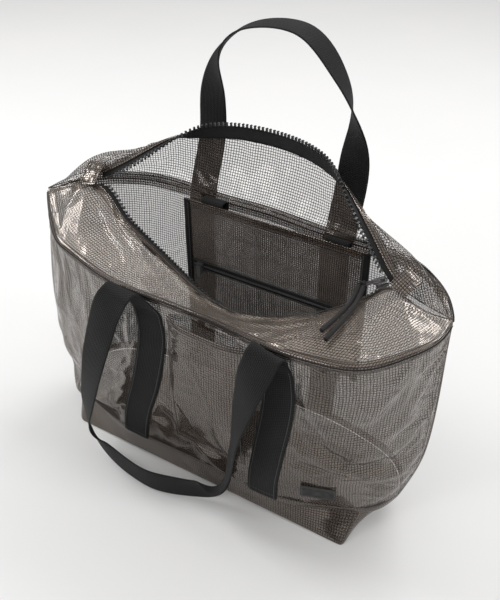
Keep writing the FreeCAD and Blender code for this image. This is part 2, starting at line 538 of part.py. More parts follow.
sl, sw, sb = D("slider_long") / 2, D("slider_wide") / 2, D("slider_wide_back") / 2
wing_pts = [(-sl, -sw * 0.75), (-sl + 2, -sw), (-sl + 7, -sw), (sl, -sb), (sl, sb), (-sl + 7, sw), (-sl + 2, sw), (-sl, sw * 0.75)]
gap, plate = D("slider_gap"), D("slider_plate")
pad_polygon(slider, "lower_plate", wing_pts, "dims.slider_plate", -gap / 2 - plate)
pad_polygon(slider, "diamond_post", [(-sl, 0), (-sl + 2.2, -1.5), (-sl + 5, 0), (-sl + 2.2, 1.5)], "dims.slider_gap + dims.slider_plate", -gap / 2 - plate * 0.5)
pad_polygon(slider, "upper_plate", wing_pts, "dims.slider_plate", gap / 2)
pad_polygon(slider, "bridge_foot_front", [(-6.2, -1.3), (-4.6, -1.3), (-4.6, 1.3), (-6.2, 1.3)], "dims.slider_post", gap / 2 + plate * 0.5)
pad_polygon(slider, "bridge_foot_back", [(4.9, -1.3), (6.5, -1.3), (6.5, 1.3), (4.9, 1.3)], "dims.slider_post", gap / 2 + plate * 0.5)
pad_polygon(slider, "bridge_bar", [(-6.2, -1.3), (6.5, -1.3), (6.5, 1.3), (-6.2, 1.3)], "dims.slider_plate", gap / 2 + plate * 0.5 + D("slider_post") - 0.2)
doc.recompute()
slider.Placement = FreeCAD.Placement(SLIDER_AT, SLIDER_ROT)
keep(slider, "main_slider")

# Puller plate, threaded over the bridge, lying over the front tape.
ZP = gap / 2 + plate + 0.25
puller = doc.addObject("PartDesign::Body", "puller_body")
psk = puller.newObject("Sketcher::SketchObject", "puller_outline")
psk.AttachmentSupport = [(origin_plane(puller, "XY_Plane"), "")]
psk.MapMode = "FlatFace"
pl, pw = D("puller_long") / 2, D("puller_wide") / 2
rounded_outline(psk, pl, pw, 2.2)
ppad = puller.newObject("PartDesign::Pad", "puller_pad")
ppad.Profile = psk
ppad.Length = 1.6
ppad.setExpression("Length", "dims.puller_thick")
# eye for the bridge at one end, hole for the lace at the other
esk = puller.newObject("Sketcher::SketchObject", "eye_outline")
esk.AttachmentSupport = [(origin_plane(puller, "XY_Plane"), "")]
esk.MapMode = "FlatFace"
ex0, ex1, ey = pl - 8.2, pl - 1.5, 2.5
for a, b in (((ex0, -ey), (ex1, -ey)), ((ex1, -ey), (ex1, ey)), ((ex1, ey), (ex0, ey)), ((ex0, ey), (ex0, -ey))):
    esk.addGeometry(Part.LineSegment(Vector(a[0], a[1], 0), Vector(b[0], b[1], 0)), False)
eye = puller.newObject("PartDesign::Pocket", "eye")
eye.Profile = esk
eye.Type = 1
eye.Midplane = True
hsk = puller.newObject("Sketcher::SketchObject", "hole_outline")
hsk.AttachmentSupport = [(origin_plane(puller, "XY_Plane"), "")]
hsk.MapMode = "FlatFace"
hsk.addGeometry(Part.Circle(Vector(-pl + 4.0, 0, 0), Vector(0, 0, 1), D("puller_hole")), False)
hol = puller.newObject("PartDesign::Pocket", "lace_hole")
hol.Profile = hsk
hol.Type = 1
hol.Midplane = True
doc.recompute()
print("puller volume", round(puller.Shape.Volume, 1), "plain plate", round(D("puller_long") * D("puller_wide") * D("puller_thick"), 1))

# The plate's end ring lies in the space under the bridge bar, and turns there.
Z_UPPER = gap / 2 + plate
Z_BAR = gap / 2 + plate * 0.5 + D("slider_post") - 0.2
Z_PIN = (Z_UPPER + Z_BAR) / 2.0
PIN_LOCAL = Vector(0, 0, Z_PIN)
PIN = SLIDER_AT + SLIDER_ROT.multVec(PIN_LOCAL)
PIN_AXIS = SLIDER_ROT.multVec(Vector(0, 1, 0))
SLIDE_AXIS = SLIDER_ROT.multVec(Vector(1, 0, 0))
ring_mid = Vector(pl - 0.75, 0, D("puller_thick") / 2)
puller.Placement = FreeCAD.Placement(PIN - SLIDER_ROT.multVec(ring_mid), SLIDER_ROT)
keep(puller, "main_puller")
print("pin", [round(c, 3) for c in PIN], "pin axis", [round(c, 5) for c in PIN_AXIS], "slide axis", [round(c, 5) for c in SLIDE_AXIS])

# ------------------------------------------------------------------ lace: knot and two tails
CD = D("cord_dia")


def cord_tube(points, dia):
    """Straight runs joined by tangent arcs, swept with a round section."""
    P = [Vector(*p) for p in points]
    edges, last = [], P[0]
    length = 0.0
    for i in range(1, len(P) - 1):
        a, b = (P[i - 1] - P[i]), (P[i + 1] - P[i])
        run = min(a.Length, b.Length)
        a.normalize()
        b.normalize()
        turn = math.pi - a.getAngle(b)
        radius = 0.45 * run / math.tan(turn / 2.0)
        q0, q1 = P[i] + a * 0.45 * run, P[i] + b * 0.45 * run
        bis = (a + b).normalize()
        mid = P[i] + bis * (radius / math.cos(turn / 2.0) - radius)
        print("  turn", round(math.degrees(turn), 1), "radius", round(radius, 1))
        edges.append(Part.LineSegment(last, q0).toShape())
        length += (q0 - last).Length + radius * turn
        edges.append(Part.Arc(q0, mid, q1).toShape())
        last = q1
    edges.append(Part.LineSegment(last, P[-1]).toShape())
    length += (P[-1] - last).Length
    wire = Part.Wire(edges)
    tan = (P[1] - P[0]).normalize()
    prof = Part.Wire([Part.makeCircle(dia / 2.0, P[0], tan)])
    tube = wire.makePipeShell([prof], True, False, 2)
    print("  cord length", round(length, 1), "volume ratio", round(tube.Volume / (length * math.pi * dia * dia / 4.0), 4))
    return tube


KN = SLIDER_AT + SLIDER_ROT.multVec(Vector(-19.2, -0.6, Z_PIN + 1.6))
print("knot at", [round(c, 2) for c in KN])
TAIL_L = [(KN.x - 2.6, KN.y - 4.2, KN.z - 0.6), (155.6, 5.0, 297.2), (156.2, -13.5, 296.1), (155.9, -32.0, 298.3), (154.9, -49.0, 299.1), (152.0, -64.5, 298.3)]
TAIL_R = [(KN.x + 2.7, KN.y - 4.2, KN.z - 0.6), (161.4, 3.5, 298.7), (163.4, -16.0, 299.2), (164.2, -36.0, 301.0), (164.4, -56.5, 301.6), (162.0, -76.0, 299.6)]
add_feature("lace_tail_left", cord_tube(TAIL_L, CD))
add_feature("lace_tail_right", cord_tube(TAIL_R, CD))
knot = doc.addObject("Part::Sphere", "knot_sphere")
knot.setExpression("Radius", "dims.knot_dia / 2")
knot.Placement = FreeCAD.Placement(KN, FreeCAD.Rotation())
doc.recompute()
keep(knot, "lace_knot")

# ------------------------------------------------------------------ hanging zip pocket
PY = D("pocket_mid")


def box(label, exprs, place_expr):
    b = doc.addObject("Part::Box", label)
    for prop, ex in zip(("Length", "Width", "Height"), exprs):
        b.setExpression(prop, ex)
    for ax, ex in zip(("x", "y", "z"), place_expr):
        b.setExpression("Placement.Base." + ax, ex)
    return b


SH, PG = "dims.pocket_sheet", "dims.pocket_gap"
inner_x0 = "dims.pocket_left + 2.4"
inner_len = "dims.pocket_wide - 4.8"
keep(box("pocket_back_sheet", (inner_len, SH, "dims.pocket_deep"),
         (inner_x0, "dims.pocket_mid + dims.pocket_gap / 2", "dims.pocket_top - dims.pocket_deep")), "pocket_back_sheet")
keep(box("pocket_front_upper", (inner_len, SH, "dims.pocket_top - dims.pocket_zip_z - 3.2"),
         (inner_x0, "dims.pocket_mid - dims.pocket_gap / 2 - dims.pocket_sheet", "dims.pocket_zip_z + 3.2")), "pocket_front_upper")
keep(box("pocket_front_lower", (inner_len, SH, "dims.pocket_zip_z - 3.2 - dims.pocket_top + dims.pocket_deep"),
         (inner_x0, "dims.pocket_mid - dims.pocket_gap / 2 - dims.pocket_sheet", "dims.pocket_top - dims.pocket_deep")), "pocket_front_lower")
for side in ("left", "right"):
    x0 = "dims.pocket_left" if side == "left" else "dims.pocket_left + dims.pocket_wide - dims.binding_wide"
    o = box("binding_%s_outer" % side, ("dims.binding_wide", "dims.binding_deep", "dims.pocket_deep + 3"),
            (x0, "dims.pocket_mid - dims.binding_deep / 2", "dims.pocket_top - dims.pocket_deep - 3"))
    sx = "dims.pocket_left + 2" if side == "left" else "dims.pocket_left + dims.pocket_wide - dims.binding_wide - 1"
    c = box("binding_%s_slot" % side, ("dims.binding_wide - 1", "dims.binding_deep - 2", "dims.pocket_deep + 9"),
            (sx, "dims.pocket_mid - dims.binding_deep / 2 + 1", "dims.pocket_top - dims.pocket_deep - 6"))
    cut = doc.addObject("Part::Cut", "binding_%s" % side)
    cut.Base = o
    cut.Tool = c
    keep(cut, "pocket_%s_binding" % side)
# zip across the pocket: tape bridging the two front sheets, coil on it
keep(box("pocket_zip_tape", ("dims.pocket_wide - 2 * dims.binding_wide - 0.6", "0.7", "dims.pocket_tape_high"),
         ("dims.pocket_left + dims.binding_wide + 0.3", "dims.pocket_mid - dims.pocket_gap / 2 - dims.pocket_sheet - 0.9", "dims.pocket_zip_z - dims.pocket_tape_high / 2")), "pocket_zip_tape")
coil = doc.addObject("Part::Cylinder", "coil_cyl")
coil.setExpression("Radius", "dims.coil_dia / 2")
coil.setExpression("Height", "dims.pocket_wide - 2 * dims.binding_wide - 8")
coil.Placement = FreeCAD.Placement(Vector(D("pocket_left") + D("binding_wide") + 4, PY - D("pocket_gap") / 2 - D("pocket_sheet") - 0.9 - D("coil_dia") / 2 - 0.05, D("pocket_zip_z")), FreeCAD.Rotation(Vector(0, 1, 0), 90))
keep(coil, "pocket_zip_coil")
coil_y = PY - D("pocket_gap") / 2 - D("pocket_sheet") - 0.9 - D("coil_dia") / 2 - 0.05

# pocket slider: a small block with a groove that clears the coil, and a short puller
so = box("pslider_block", ("dims.small_slider_long", "dims.small_slider_thick + 2", "dims.small_slider_wide"), ("0", "0", "0"))
PSX = D("pocket_left") + D("binding_wide") + 9.0
for ax in ("x", "y", "z"):
    so.setExpression("Placement.Base." + ax, None)
so.Placement = FreeCAD.Placement(Vector(PSX, coil_y - D("coil_dia") / 2 - 1.6, D("pocket_zip_z") - D("small_slider_wide") / 2), FreeCAD.Rotation())
gr = doc.addObject("Part::Box", "pslider_groove")
gr.Length = D("small_slider_long") + 4
gr.Width = 12
gr.Height = D("coil_dia") + 0.5
gr.Placement = FreeCAD.Placement(Vector(PSX - 2, coil_y - D("coil_dia") / 2 - 0.3, D("pocket_zip_z") - D("coil_dia") / 2 - 0.25), FreeCAD.Rotation())
gr.setExpression("Height", "dims.coil_dia + 0.5")
trim = doc.addObject("Part::Box", "pslider_trim")
trim.Length = D("small_slider_long") + 4
trim.Width = 12
trim.Height = 30
trim.Placement = FreeCAD.Placement(Vector(PSX - 2, PY - D("pocket_gap") / 2 - D("pocket_sheet") - 0.9 - 0.3, D("pocket_zip_z") - 15), FreeCAD.Rotation())
c1 = doc.addObject("Part::Cut", "pslider_cut")
c1.Base, c1.Tool = so, gr
c2 = doc.addObject("Part::Cut", "pslider_cut2")
c2.Base, c2.Tool = c1, trim
keep(c2, "pocket_slider")
py0 = coil_y - D("coil_dia") / 2 - 1.6 - 0.35
pp = doc.addObject("Part::Box", "ppuller_box")
pp.setExpression("Length", "dims.small_puller_wide")
pp.setExpression("Width", "dims.small_puller_thick")
pp.setExpression("Height", "dims.small_puller_long")
doc.recompute()
pp.Placement = FreeCAD.Placement(Vector(PSX + D("small_slider_long") / 2 - D("small_puller_wide") / 2, py0 - D("small_puller_thick"), D("pocket_zip_z") + 1.5 - D("small_puller_long")), FreeCAD.Rotation())
keep(pp, "pocket_puller")

# Webbing hangers from the back rim to the pocket's top edge.
for label, xc in (("pocket_left_hanger", -66.0), ("pocket_right_hanger", 101.0)):
    hw, ht = D("hanger_wide"), D("hanger_thick")
    ymin = min(back_net.at(*back_net.find(xc + k * hw / 2, 303.0)).y for k in (-1, 0, 1)) - t - 3.0
    path = [(ymin, 294.0), (ymin, 305.0), (ymin - 1.2, 308.4), ((ymin + PY) / 2, 309.4), (PY + 0.3, 308.8), (PY - 0.9, 305.6)]
    outer_pts, inner_pts = [], []
    for k in range(len(path)):
        a, b = path[max(0, k - 1)], path[min(len(path) - 1, k + 1)]
        dy, dz = b[0] - a[0], b[1] - a[1]
        n = math.hypot(dy, dz)
        outer_pts.append(Vector(xc - hw / 2, path[k][0] + dz / n * ht / 2, path[k][1] - dy / n * ht / 2))
        inner_pts.append(Vector(xc - hw / 2, path[k][0] - dz / n * ht / 2, path[k][1] + dy / n * ht / 2))
    prof = Part.Face(Part.makePolygon(outer_pts + inner_pts[::-1] + [outer_pts[0]]))
    add_feature(label, prof.extrude(Vector(hw, 0, 0)))

# ------------------------------------------------------------------ check and write
doc.recompute()
bad = []
for o in doc.Objects:
    if "Invalid" in o.State or "Error" in o.State:
        bad.append((o.Name, o.State))
for label, o in PARTS.items():
    sh = o.Shape
    if sh.isNull() or not sh.isValid() or sh.Volume <= 0 or not sh.Solids:
        bad.append((label, "shape", sh.isNull(), None if sh.isNull() else sh.isValid(), None if sh.isNull() else round(sh.Volume, 2)))
assert not bad, bad
os.makedirs("parts", exist_ok=True)
for label, o in PARTS.items():
    sh = o.Shape
    bb = sh.BoundBox
    print("%-24s solids %3d vol %9.1f  x %7.1f %7.1f  y %7.1f %7.1f  z %7.1f %7.1f" % (label, len(sh.Solids), sh.Volume, bb.XMin, bb.XMax, bb.YMin, bb.YMax, bb.ZMin, bb.ZMax))
    sh.exportStep("parts/%s.step" % label)
print(len(PARTS), "nodes written")
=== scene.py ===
import math

import bpy
import numpy as np
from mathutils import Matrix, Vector


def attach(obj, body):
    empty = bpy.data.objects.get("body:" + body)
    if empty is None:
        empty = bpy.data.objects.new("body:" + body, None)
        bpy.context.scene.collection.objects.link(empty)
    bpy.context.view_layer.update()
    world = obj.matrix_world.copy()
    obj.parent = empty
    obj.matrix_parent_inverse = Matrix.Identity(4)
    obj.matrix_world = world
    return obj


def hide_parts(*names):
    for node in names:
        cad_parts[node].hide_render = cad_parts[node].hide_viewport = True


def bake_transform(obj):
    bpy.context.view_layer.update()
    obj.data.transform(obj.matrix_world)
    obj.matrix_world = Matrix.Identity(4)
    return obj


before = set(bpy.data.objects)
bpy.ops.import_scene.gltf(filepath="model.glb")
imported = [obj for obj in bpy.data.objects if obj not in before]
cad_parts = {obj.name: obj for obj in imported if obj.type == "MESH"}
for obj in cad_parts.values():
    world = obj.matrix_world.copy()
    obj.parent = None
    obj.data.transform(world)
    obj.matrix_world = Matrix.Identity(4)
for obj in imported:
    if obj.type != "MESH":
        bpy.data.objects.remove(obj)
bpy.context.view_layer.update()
scene = bpy.context.scene
rng = np.random.default_rng(11)

# =============================================================== camera and cloth-free set-up
cam_data = bpy.data.cameras.new("cam")
cam_data.lens = 45.0
cam_data.sensor_width = 36.0
cam = bpy.data.objects.new("cam", cam_data)
scene.collection.objects.link(cam)
AZ, EL = math.radians(30.98), math.radians(36.45)
BACKV = Vector((math.sin(AZ) * math.cos(EL), -math.cos(AZ) * math.cos(EL), math.sin(EL)))
cam.location = (0.3832, -0.5827, 0.7511)
cam.rotation_mode = "QUATERNION"
cam.rotation_quaternion = (-BACKV).to_track_quat("-Z", "Y")
cam_data.clip_start, cam_data.clip_end = 0.01, 50.0
scene.camera = cam
scene.view_settings.view_transform = "Standard"
scene.view_settings.look = "None"
scene.cycles.transparent_max_bounces = 32


# =============================================================== maths
def spline(y, t, x=None):
    """Natural cubic through y at knots x (0, 1, 2... when None), along axis 0."""
    y = np.asarray(y, float)
    t = np.asarray(t, float)
    n = len(y)
    x = np.arange(n, dtype=float) if x is None else np.asarray(x, float)
    flat = y.reshape(n, -1)
    h = np.diff(x)
    dd = np.zeros_like(flat)
    if n > 2:
        a = np.zeros((n - 2, n - 2))
        for i in range(n - 2):
            a[i, i] = 2 * (h[i] + h[i + 1])
            if i:
                a[i, i - 1] = h[i]
            if i < n - 3:
                a[i, i + 1] = h[i + 1]
        sl = np.diff(flat, axis=0) / h[:, None]
        dd[1:-1] = np.linalg.solve(a, 6 * np.diff(sl, axis=0))
    k = np.clip(np.searchsorted(x, t, side="right") - 1, 0, n - 2)
    hk = h[k][:, None]
    f = (t - x[k])[:, None] / hk
    g = 1 - f
    out = g * flat[k] + f * flat[k + 1] + ((g**3 - g) * dd[k] + (f**3 - f) * dd[k + 1]) * hk * hk / 6
    return out.reshape((len(t),) + y.shape[1:])


def unit(v):
    return v / np.maximum(np.linalg.norm(v, axis=-1, keepdims=True), 1e-12)


class Net:
    """Smooth surface through rows of key points; s along the rows, v across them."""

    def __init__(self, rows):
        self.R = np.array(rows, float)
        self.nr, self.nc = self.R.shape[:2]

    def grid(self, S, V):
        S, V = np.atleast_1d(S), np.atleast_1d(V)
        rows = spline(self.R.transpose(1, 0, 2), np.asarray(S) * (self.nc - 1))  # ns, nr, 3
        return spline(rows.transpose(1, 0, 2), np.asarray(V) * (self.nr - 1))  # nv, ns, 3

    def at(self, s, v):
        """Points for paired arrays of s and v."""
        s, v = np.broadcast_arrays(np.atleast_1d(np.asarray(s, float)), np.atleast_1d(np.asarray(v, float)))
        shape = s.shape
        s, v = s.ravel(), v.ravel()
        rows = spline(self.R.transpose(1, 0, 2), s * (self.nc - 1))  # m, nr, 3
        y = rows.transpose(1, 0, 2)
        n = self.nr
        a = np.zeros((n, n))
        a[0, 0] = a[-1, -1] = 1
        for i in range(1, n - 1):
            a[i, i - 1 : i + 2] = (1, 4, 1)
        rhs = np.zeros_like(y)
        rhs[1:-1] = 6 * (y[2:] - 2 * y[1:-1] + y[:-2])
        dd = np.linalg.solve(a, rhs.reshape(n, -1)).reshape(y.shape)
        t = v * (n - 1)
        k = np.clip(np.floor(t).astype(int), 0, n - 2)
        f = (t - k)[:, None]
        g = 1 - f
        m = np.arange(len(s))
        out = g * y[k, m] + f * y[k + 1, m] + ((g**3 - g) * dd[k, m] + (f**3 - f) * dd[k + 1, m]) / 6
        return out.reshape(shape + (3,))

    def normal(self, s, v):
        e = 1e-3
        s, v = np.broadcast_arrays(np.atleast_1d(np.asarray(s, float)), np.atleast_1d(np.asarray(v, float)))
        a = self.at(np.minimum(1, s + e), v) - self.at(np.maximum(0, s - e), v)
        b = self.at(s, np.minimum(1, v + e)) - self.at(s, np.maximum(0, v - e))
        return unit(np.cross(a, b))

    def find(self, x, z):
        x, z = np.broadcast_arrays(np.atleast_1d(np.asarray(x, float)), np.atleast_1d(np.asarray(z, float)))
        s, v = np.full(x.shape, 0.5), np.full(x.shape, 0.5)
        e = 1e-3
        for _ in range(40):
            p = self.at(s, v)
            ex, ez = x - p[..., 0], z - p[..., 2]
            if np.abs(ex).max() + np.abs(ez).max() < 0.01:
                break
            s1, s0 = np.minimum(1, s + e), np.maximum(0, s - e)
            v1, v0 = np.minimum(1, v + e), np.maximum(0, v - e)
            ps = (self.at(s1, v) - self.at(s0, v)) / (s1 - s0)[..., None]
            pv = (self.at(s, v1) - self.at(s, v0)) / (v1 - v0)[..., None]
            det = ps[..., 0] * pv[..., 2] - pv[..., 0] * ps[..., 2]
            ds = (ex * pv[..., 2] - pv[..., 0] * ez) / det
            dv = (ps[..., 0] * ez - ex * ps[..., 2]) / det
            s = np.clip(s + np.clip(ds, -0.2, 0.2), 0, 1)
            v = np.clip(v + np.clip(dv, -0.2, 0.2), 0, 1)
        return s, v


# =============================================================== the bag's key points, millimetres
SIDE_L = [(-236, 6, 35), (-252, 4, 95), (-258, 2, 150), (-262, 1, 215), (-261, 1, 265), (-259, 0, 306)]
SIDE_R = [(236, 6, 35), (252, 4, 95), (259, 2, 150), (260, 1, 215), (259, 1, 265), (259, 0, 306)]
FRONT = [
    [SIDE_L[0], (-226, -28, 35), (-207, -52, 35), (-180, -61, 35), (-148, -69, 35), (-112, -75, 35), (-56, -76, 35), (0, -75.5, 35), (56, -76, 35), (108, -76, 35), (148, -66, 35), (180, -53, 35), (207, -41, 35), (226, -22, 35), SIDE_R[0]],
    [SIDE_L[1], (-236, -32, 92), (-211, -56, 90), (-182, -68, 90), (-148, -77, 90), (-108, -83, 90), (-54, -84, 90), (0, -83, 90), (56, -85, 90), (108, -87, 90), (150, -82, 90), (186, -70, 90), (215, -52, 90), (238, -28, 92), SIDE_R[1]],
    [SIDE_L[2], (-243, -34, 150), (-218, -59, 150), (-186, -72, 150), (-148, -81, 150), (-106, -87, 150), (-50, -87, 150), (4, -86, 150), (58, -88, 150), (110, -91, 150), (156, -90, 150), (194, -79, 150), (223, -59, 150), (245, -31, 150), SIDE_R[2]],
    [SIDE_L[3], (-246, -32, 212), (-223, -57, 210), (-188, -70, 208), (-149, -79, 207), (-104, -84, 206), (-46, -85, 206), (8, -84, 206), (60, -87, 206), (112, -92, 206), (160, -93, 207), (199, -84, 210), (228, -63, 212), (248, -34, 214), SIDE_R[3]],
    [SIDE_L[4], (-245, -26, 260), (-218, -52, 254), (-184, -65, 250), (-148, -75, 246), (-100, -82, 244), (-42, -83, 243), (12, -83, 243), (62, -86, 243), (114, -93, 245), (162, -95, 248), (204, -86, 254), (234, -62, 260), (252, -32, 264), SIDE_R[4]],
    [SIDE_L[5], (-239, -21, 301), (-206, -51, 292), (-180, -66, 288), (-150, -73, 284), (-98, -83, 279), (-45, -84, 278), (10, -84, 278), (62, -87, 278), (114, -95, 281), (165, -96, 286), (207, -90, 293), (238, -63, 301), (256, -32, 305), SIDE_R[5]],
]
BACK = [
    [SIDE_L[0], (-226, 34, 35), (-207, 54, 35), (-180, 63, 35), (-148, 70, 35), (-108, 75, 35), (-56, 76, 35), (0, 76, 35), (56, 76, 35), (108, 75, 35), (148, 70, 35), (180, 63, 35), (207, 52, 35), (226, 32, 35), SIDE_R[0]],
    [SIDE_L[1], (-239, 35, 95), (-215, 58, 95), (-184, 70, 95), (-148, 78, 95), (-108, 83, 95), (-54, 85, 95), (0, 85, 95), (54, 85, 95), (108, 83, 95), (150, 78, 95), (186, 70, 95), (215, 56, 95), (239, 33, 95), SIDE_R[1]],
    [SIDE_L[2], (-244, 36, 150), (-219, 60, 150), (-186, 74, 150), (-148, 82, 150), (-106, 88, 150), (-54, 90, 150), (0, 90, 150), (54, 90, 150), (110, 88, 150), (154, 82, 150), (190, 73, 150), (220, 58, 150), (244, 35, 150), SIDE_R[2]],
    [SIDE_L[3], (-246, 37, 215), (-222, 62, 215), (-186, 80, 215), (-148, 88, 215), (-106, 92, 215), (-54, 92, 215), (0, 92, 215), (54, 92, 215), (110, 89, 215), (154, 85, 215), (192, 77, 215), (224, 58, 215), (246, 34, 215), SIDE_R[3]],
    [SIDE_L[4], (-245, 38, 265), (-223, 63, 266), (-184, 85, 267), (-146, 92, 267), (-104, 94, 267), (-54, 92, 267), (0, 93, 267), (54, 90, 267), (110, 86, 267), (154, 85, 267), (195, 79, 267), (226, 57, 266), (247, 33, 265), SIDE_R[4]],
    [SIDE_L[5], (-243, 38, 307), (-224, 64, 308), (-182, 88, 308), (-144, 95, 308), (-104, 95, 308), (-54, 93, 307), (0, 94, 307), (54, 89, 307), (110, 85, 308), (156, 85, 308), (196, 78, 308), (226, 54, 308), (247, 28, 307), SIDE_R[5]],
]
front_net = Net(FRONT)
back_net = Net([list(reversed(r)) for r in BACK])
F_TOP = [(-258, 0.4, 311), (-229, 1.5, 322), (-187, 11, 331), (-150, 6, 306), (-118, -1, 290), (-60, -14, 270), (-8, -28, 258), (44, -34, 253), (88, -25, 257), (120, -5, 268), (147, 15, 279), (168, 25, 293), (188, 22, 309), (224, 2, 311), (258, 0.4, 311)]
F_RIM = [(p[0], p[1], p[2] + 1.8) for p in FRONT[5]]
F_LOW, F_MID = [], []
for i in range(15):
    a, b = np.array(F_RIM[i], float), np.array(F_TOP[i], float)
    puff = [0, 6, 9, 11, 10, 8, 7, 7, 7, 8, 10, 11, 10, 6, 0][i]
    F_LOW.append(tuple(a * 0.67 + b * 0.33 + np.array((0, -0.25 * puff, 0.95 * puff))))
    F_MID.append(tuple(a * 0.33 + b * 0.67 + np.array((0, 0, 0.9 * puff))))
front_yoke_net = Net([F_RIM, F_LOW, F_MID, F_TOP])
B_TOP = [(-258, 1.6, 311), (-229, 9, 324), (-192, 25, 337), (-152, 60, 360), (-121, 97, 376), (-68, 118, 385), (0, 124, 386), (69, 107, 381), (119, 76, 360), (158, 50, 333), (189, 32, 311), (226, 12, 310), (258, 1.6, 311)]
B_MID = [(-259, 3.5, 309), (-238, 26, 335), (-207, 46, 356), (-163, 76, 363), (-124, 104, 367), (-68, 115, 367), (0, 119, 367), (69, 107, 365), (122, 87, 355), (165, 68, 341), (199, 47, 327), (231, 24, 317), (259, 3.5, 309)]
B_LOW = [(-260, 5, 308), (-242, 34, 326), (-217, 58, 340), (-172, 84, 342), (-124, 102, 342), (-68, 105, 340), (0, 107, 340), (69, 100, 340), (126, 91, 337), (172, 81, 331), (207, 60, 326), (237, 31, 314), (260, 5, 308)]
B_RIM = [(-259, 2.0, 306.6), (-242, 39, 307.5), (-222, 66, 308.5), (-176, 90, 308.5), (-126, 96, 308.5), (-66, 93, 307.6), (0, 94, 307.5), (66, 88, 307.6), (127, 85, 308.5), (176, 83, 308.5), (212, 67, 308.5), (242, 37, 307.5), (259, 2.0, 306.6)]
back_yoke_net = Net([list(reversed(r)) for r in (B_RIM, B_LOW, B_MID, B_TOP)])
SKIN = 1.2


# =============================================================== node-building help
class Mat:
    def __init__(self, name):
        self.m = bpy.data.materials.new(name)
        self.m.use_nodes = True
        self.nt = self.m.node_tree
        self.nt.nodes.clear()
        self.out = self.nt.nodes.new("ShaderNodeOutputMaterial")
        self.b = self.nt.nodes.new("ShaderNodeBsdfPrincipled")
        self.nt.links.new(self.b.outputs[0], self.out.inputs[0])

    def put(self, socket, value):
        if isinstance(value, bpy.types.NodeSocket):
            self.nt.links.new(value, socket)
        elif value is not None:
            socket.default_value = value

    def set(self, **kw):
        for k, v in kw.items():
            self.put(self.b.inputs[k.replace("_", " ")], v)
        return self

    def node(self, kind, out=0, ins=None, **props):
        n = self.nt.nodes.new(kind)
        for k, v in props.items():
            setattr(n, k, v)
        for k, v in (ins or {}).items():
            self.put(n.inputs[k], v)
        return n.outputs[out]

    def math(self, op, a, b=None, clamp=False):
        n = self.nt.nodes.new("ShaderNodeMath")
        n.operation = op
        n.use_clamp = clamp
        self.put(n.inputs[0], a)
        if b is not None:
            self.put(n.inputs[1], b)
        return n.outputs[0]

    def uv(self):
        u = self.node("ShaderNodeUVMap", uv_map="cloth")
        s = self.nt.nodes.new("ShaderNodeSeparateXYZ")
        self.nt.links.new(u, s.inputs[0])
        return u, s.outputs[0], s.outputs[1]

    def smooth(self, v, lo, hi, a=0.0, b=1.0):
        return self.node("ShaderNodeMapRange", 0, {"Value": v, "From Min": lo, "From Max": hi, "To Min": a, "To Max": b}, interpolation_type="SMOOTHSTEP")

    def mix(self, f, a, b):
        n = self.nt.nodes.new("ShaderNodeMix")
        n.data_type = "RGBA"
        self.put(n.inputs[0], f)
        self.put(n.inputs[6], a)
        self.put(n.inputs[7], b)
        return n.outputs[2]

    def noise(self, vec, scale, detail=2.0, rough=0.5):
        return self.node("ShaderNodeTexNoise", 0, {"Vector": vec, "Scale": scale, "Detail": detail, "Roughness": rough})

    def bump(self, h, dist, strength=1.0, normal=None):
        ins = {"Height": h, "Distance": dist, "Strength": strength}
        if normal is not None:
            ins["Normal"] = normal
        return self.node("ShaderNodeBump", 0, ins)


def film_material(name, tint, clear, thread=0.20, pitch=0.0032, solid=0.93, gloss=0.11, ior=2.25):
    """Clear glossy film laid over a black square grid of threads."""
    m = Mat(name)
    u, x, y = m.uv()

    def line(c):
        f = m.math("FRACT", m.math("DIVIDE", c, pitch))
        return m.math("MULTIPLY", m.math("ABSOLUTE", m.math("SUBTRACT", f, 0.5)), 2.0)

    # threads are a little uneven in width along their run
    wob = m.noise(u, 420.0, 1.0)
    wide = m.math("MULTIPLY_ADD", wob, 0.10)
    wide.node.inputs[2].default_value = thread - 0.05
    mu = m.smooth(m.math("SUBTRACT", line(x), wide), 0.0, 0.12, 1.0, 0.0)
    mv = m.smooth(m.math("SUBTRACT", line(y), wide), 0.0, 0.12, 1.0, 0.0)
    mask = m.math("MAXIMUM", mu, mv)
    cross = m.math("MULTIPLY", mu, mv)
    haze = m.noise(u, 14.0, 4.0, 0.6)
    fog = m.smooth(haze, 0.35, 0.75)
    tint2 = tuple(min(1.0, c * 1.35 + 0.02) for c in tint)
    body = m.mix(fog, tint + (1,), tint2 + (1,))
    m.set(Base_Color=m.mix(mask, body, (0.011, 0.010, 0.010, 1)))
    a0 = m.smooth(haze, 0.3, 0.8, clear, clear + 0.07)
    alpha = m.node("ShaderNodeMix", 0, {0: mask, 2: a0, 3: solid}, data_type="FLOAT")
    m.set(Alpha=alpha)
    m.set(Roughness=m.node("ShaderNodeMix", 0, {0: mask, 2: m.smooth(haze, 0.3, 0.8, gloss - 0.03, gloss + 0.07), 3: gloss + 0.16}, data_type="FLOAT"))
    crease = m.noise(u, 13.0, 1.5, 0.45)
    ridge = m.math("ABSOLUTE", m.math("SUBTRACT", crease, 0.5))
    fine = m.bump(ridge, 0.010, 0.35)
    threads = m.bump(m.math("ADD", mask, cross), 0.00010, 0.25, fine)
    m.set(Normal=threads)
    m.b.inputs["IOR"].default_value = ior
    m.set(Specular_IOR_Level=m.node("ShaderNodeMix", 0, {0: mask, 2: 0.5, 3: 0.10}, data_type="FLOAT"))
    m.set(Coat_Weight=m.node("ShaderNodeMix", 0, {0: mask, 2: 0.9, 3: 0.12}, data_type="FLOAT"))
    m.b.inputs["Coat Roughness"].default_value = 0.06
    m.b.inputs["Coat Tint"].default_value = (1.0, 0.95, 0.90, 1)
    m.b.inputs["Specular Tint"].default_value = (1.0, 0.90, 0.82, 1)
    return m.m


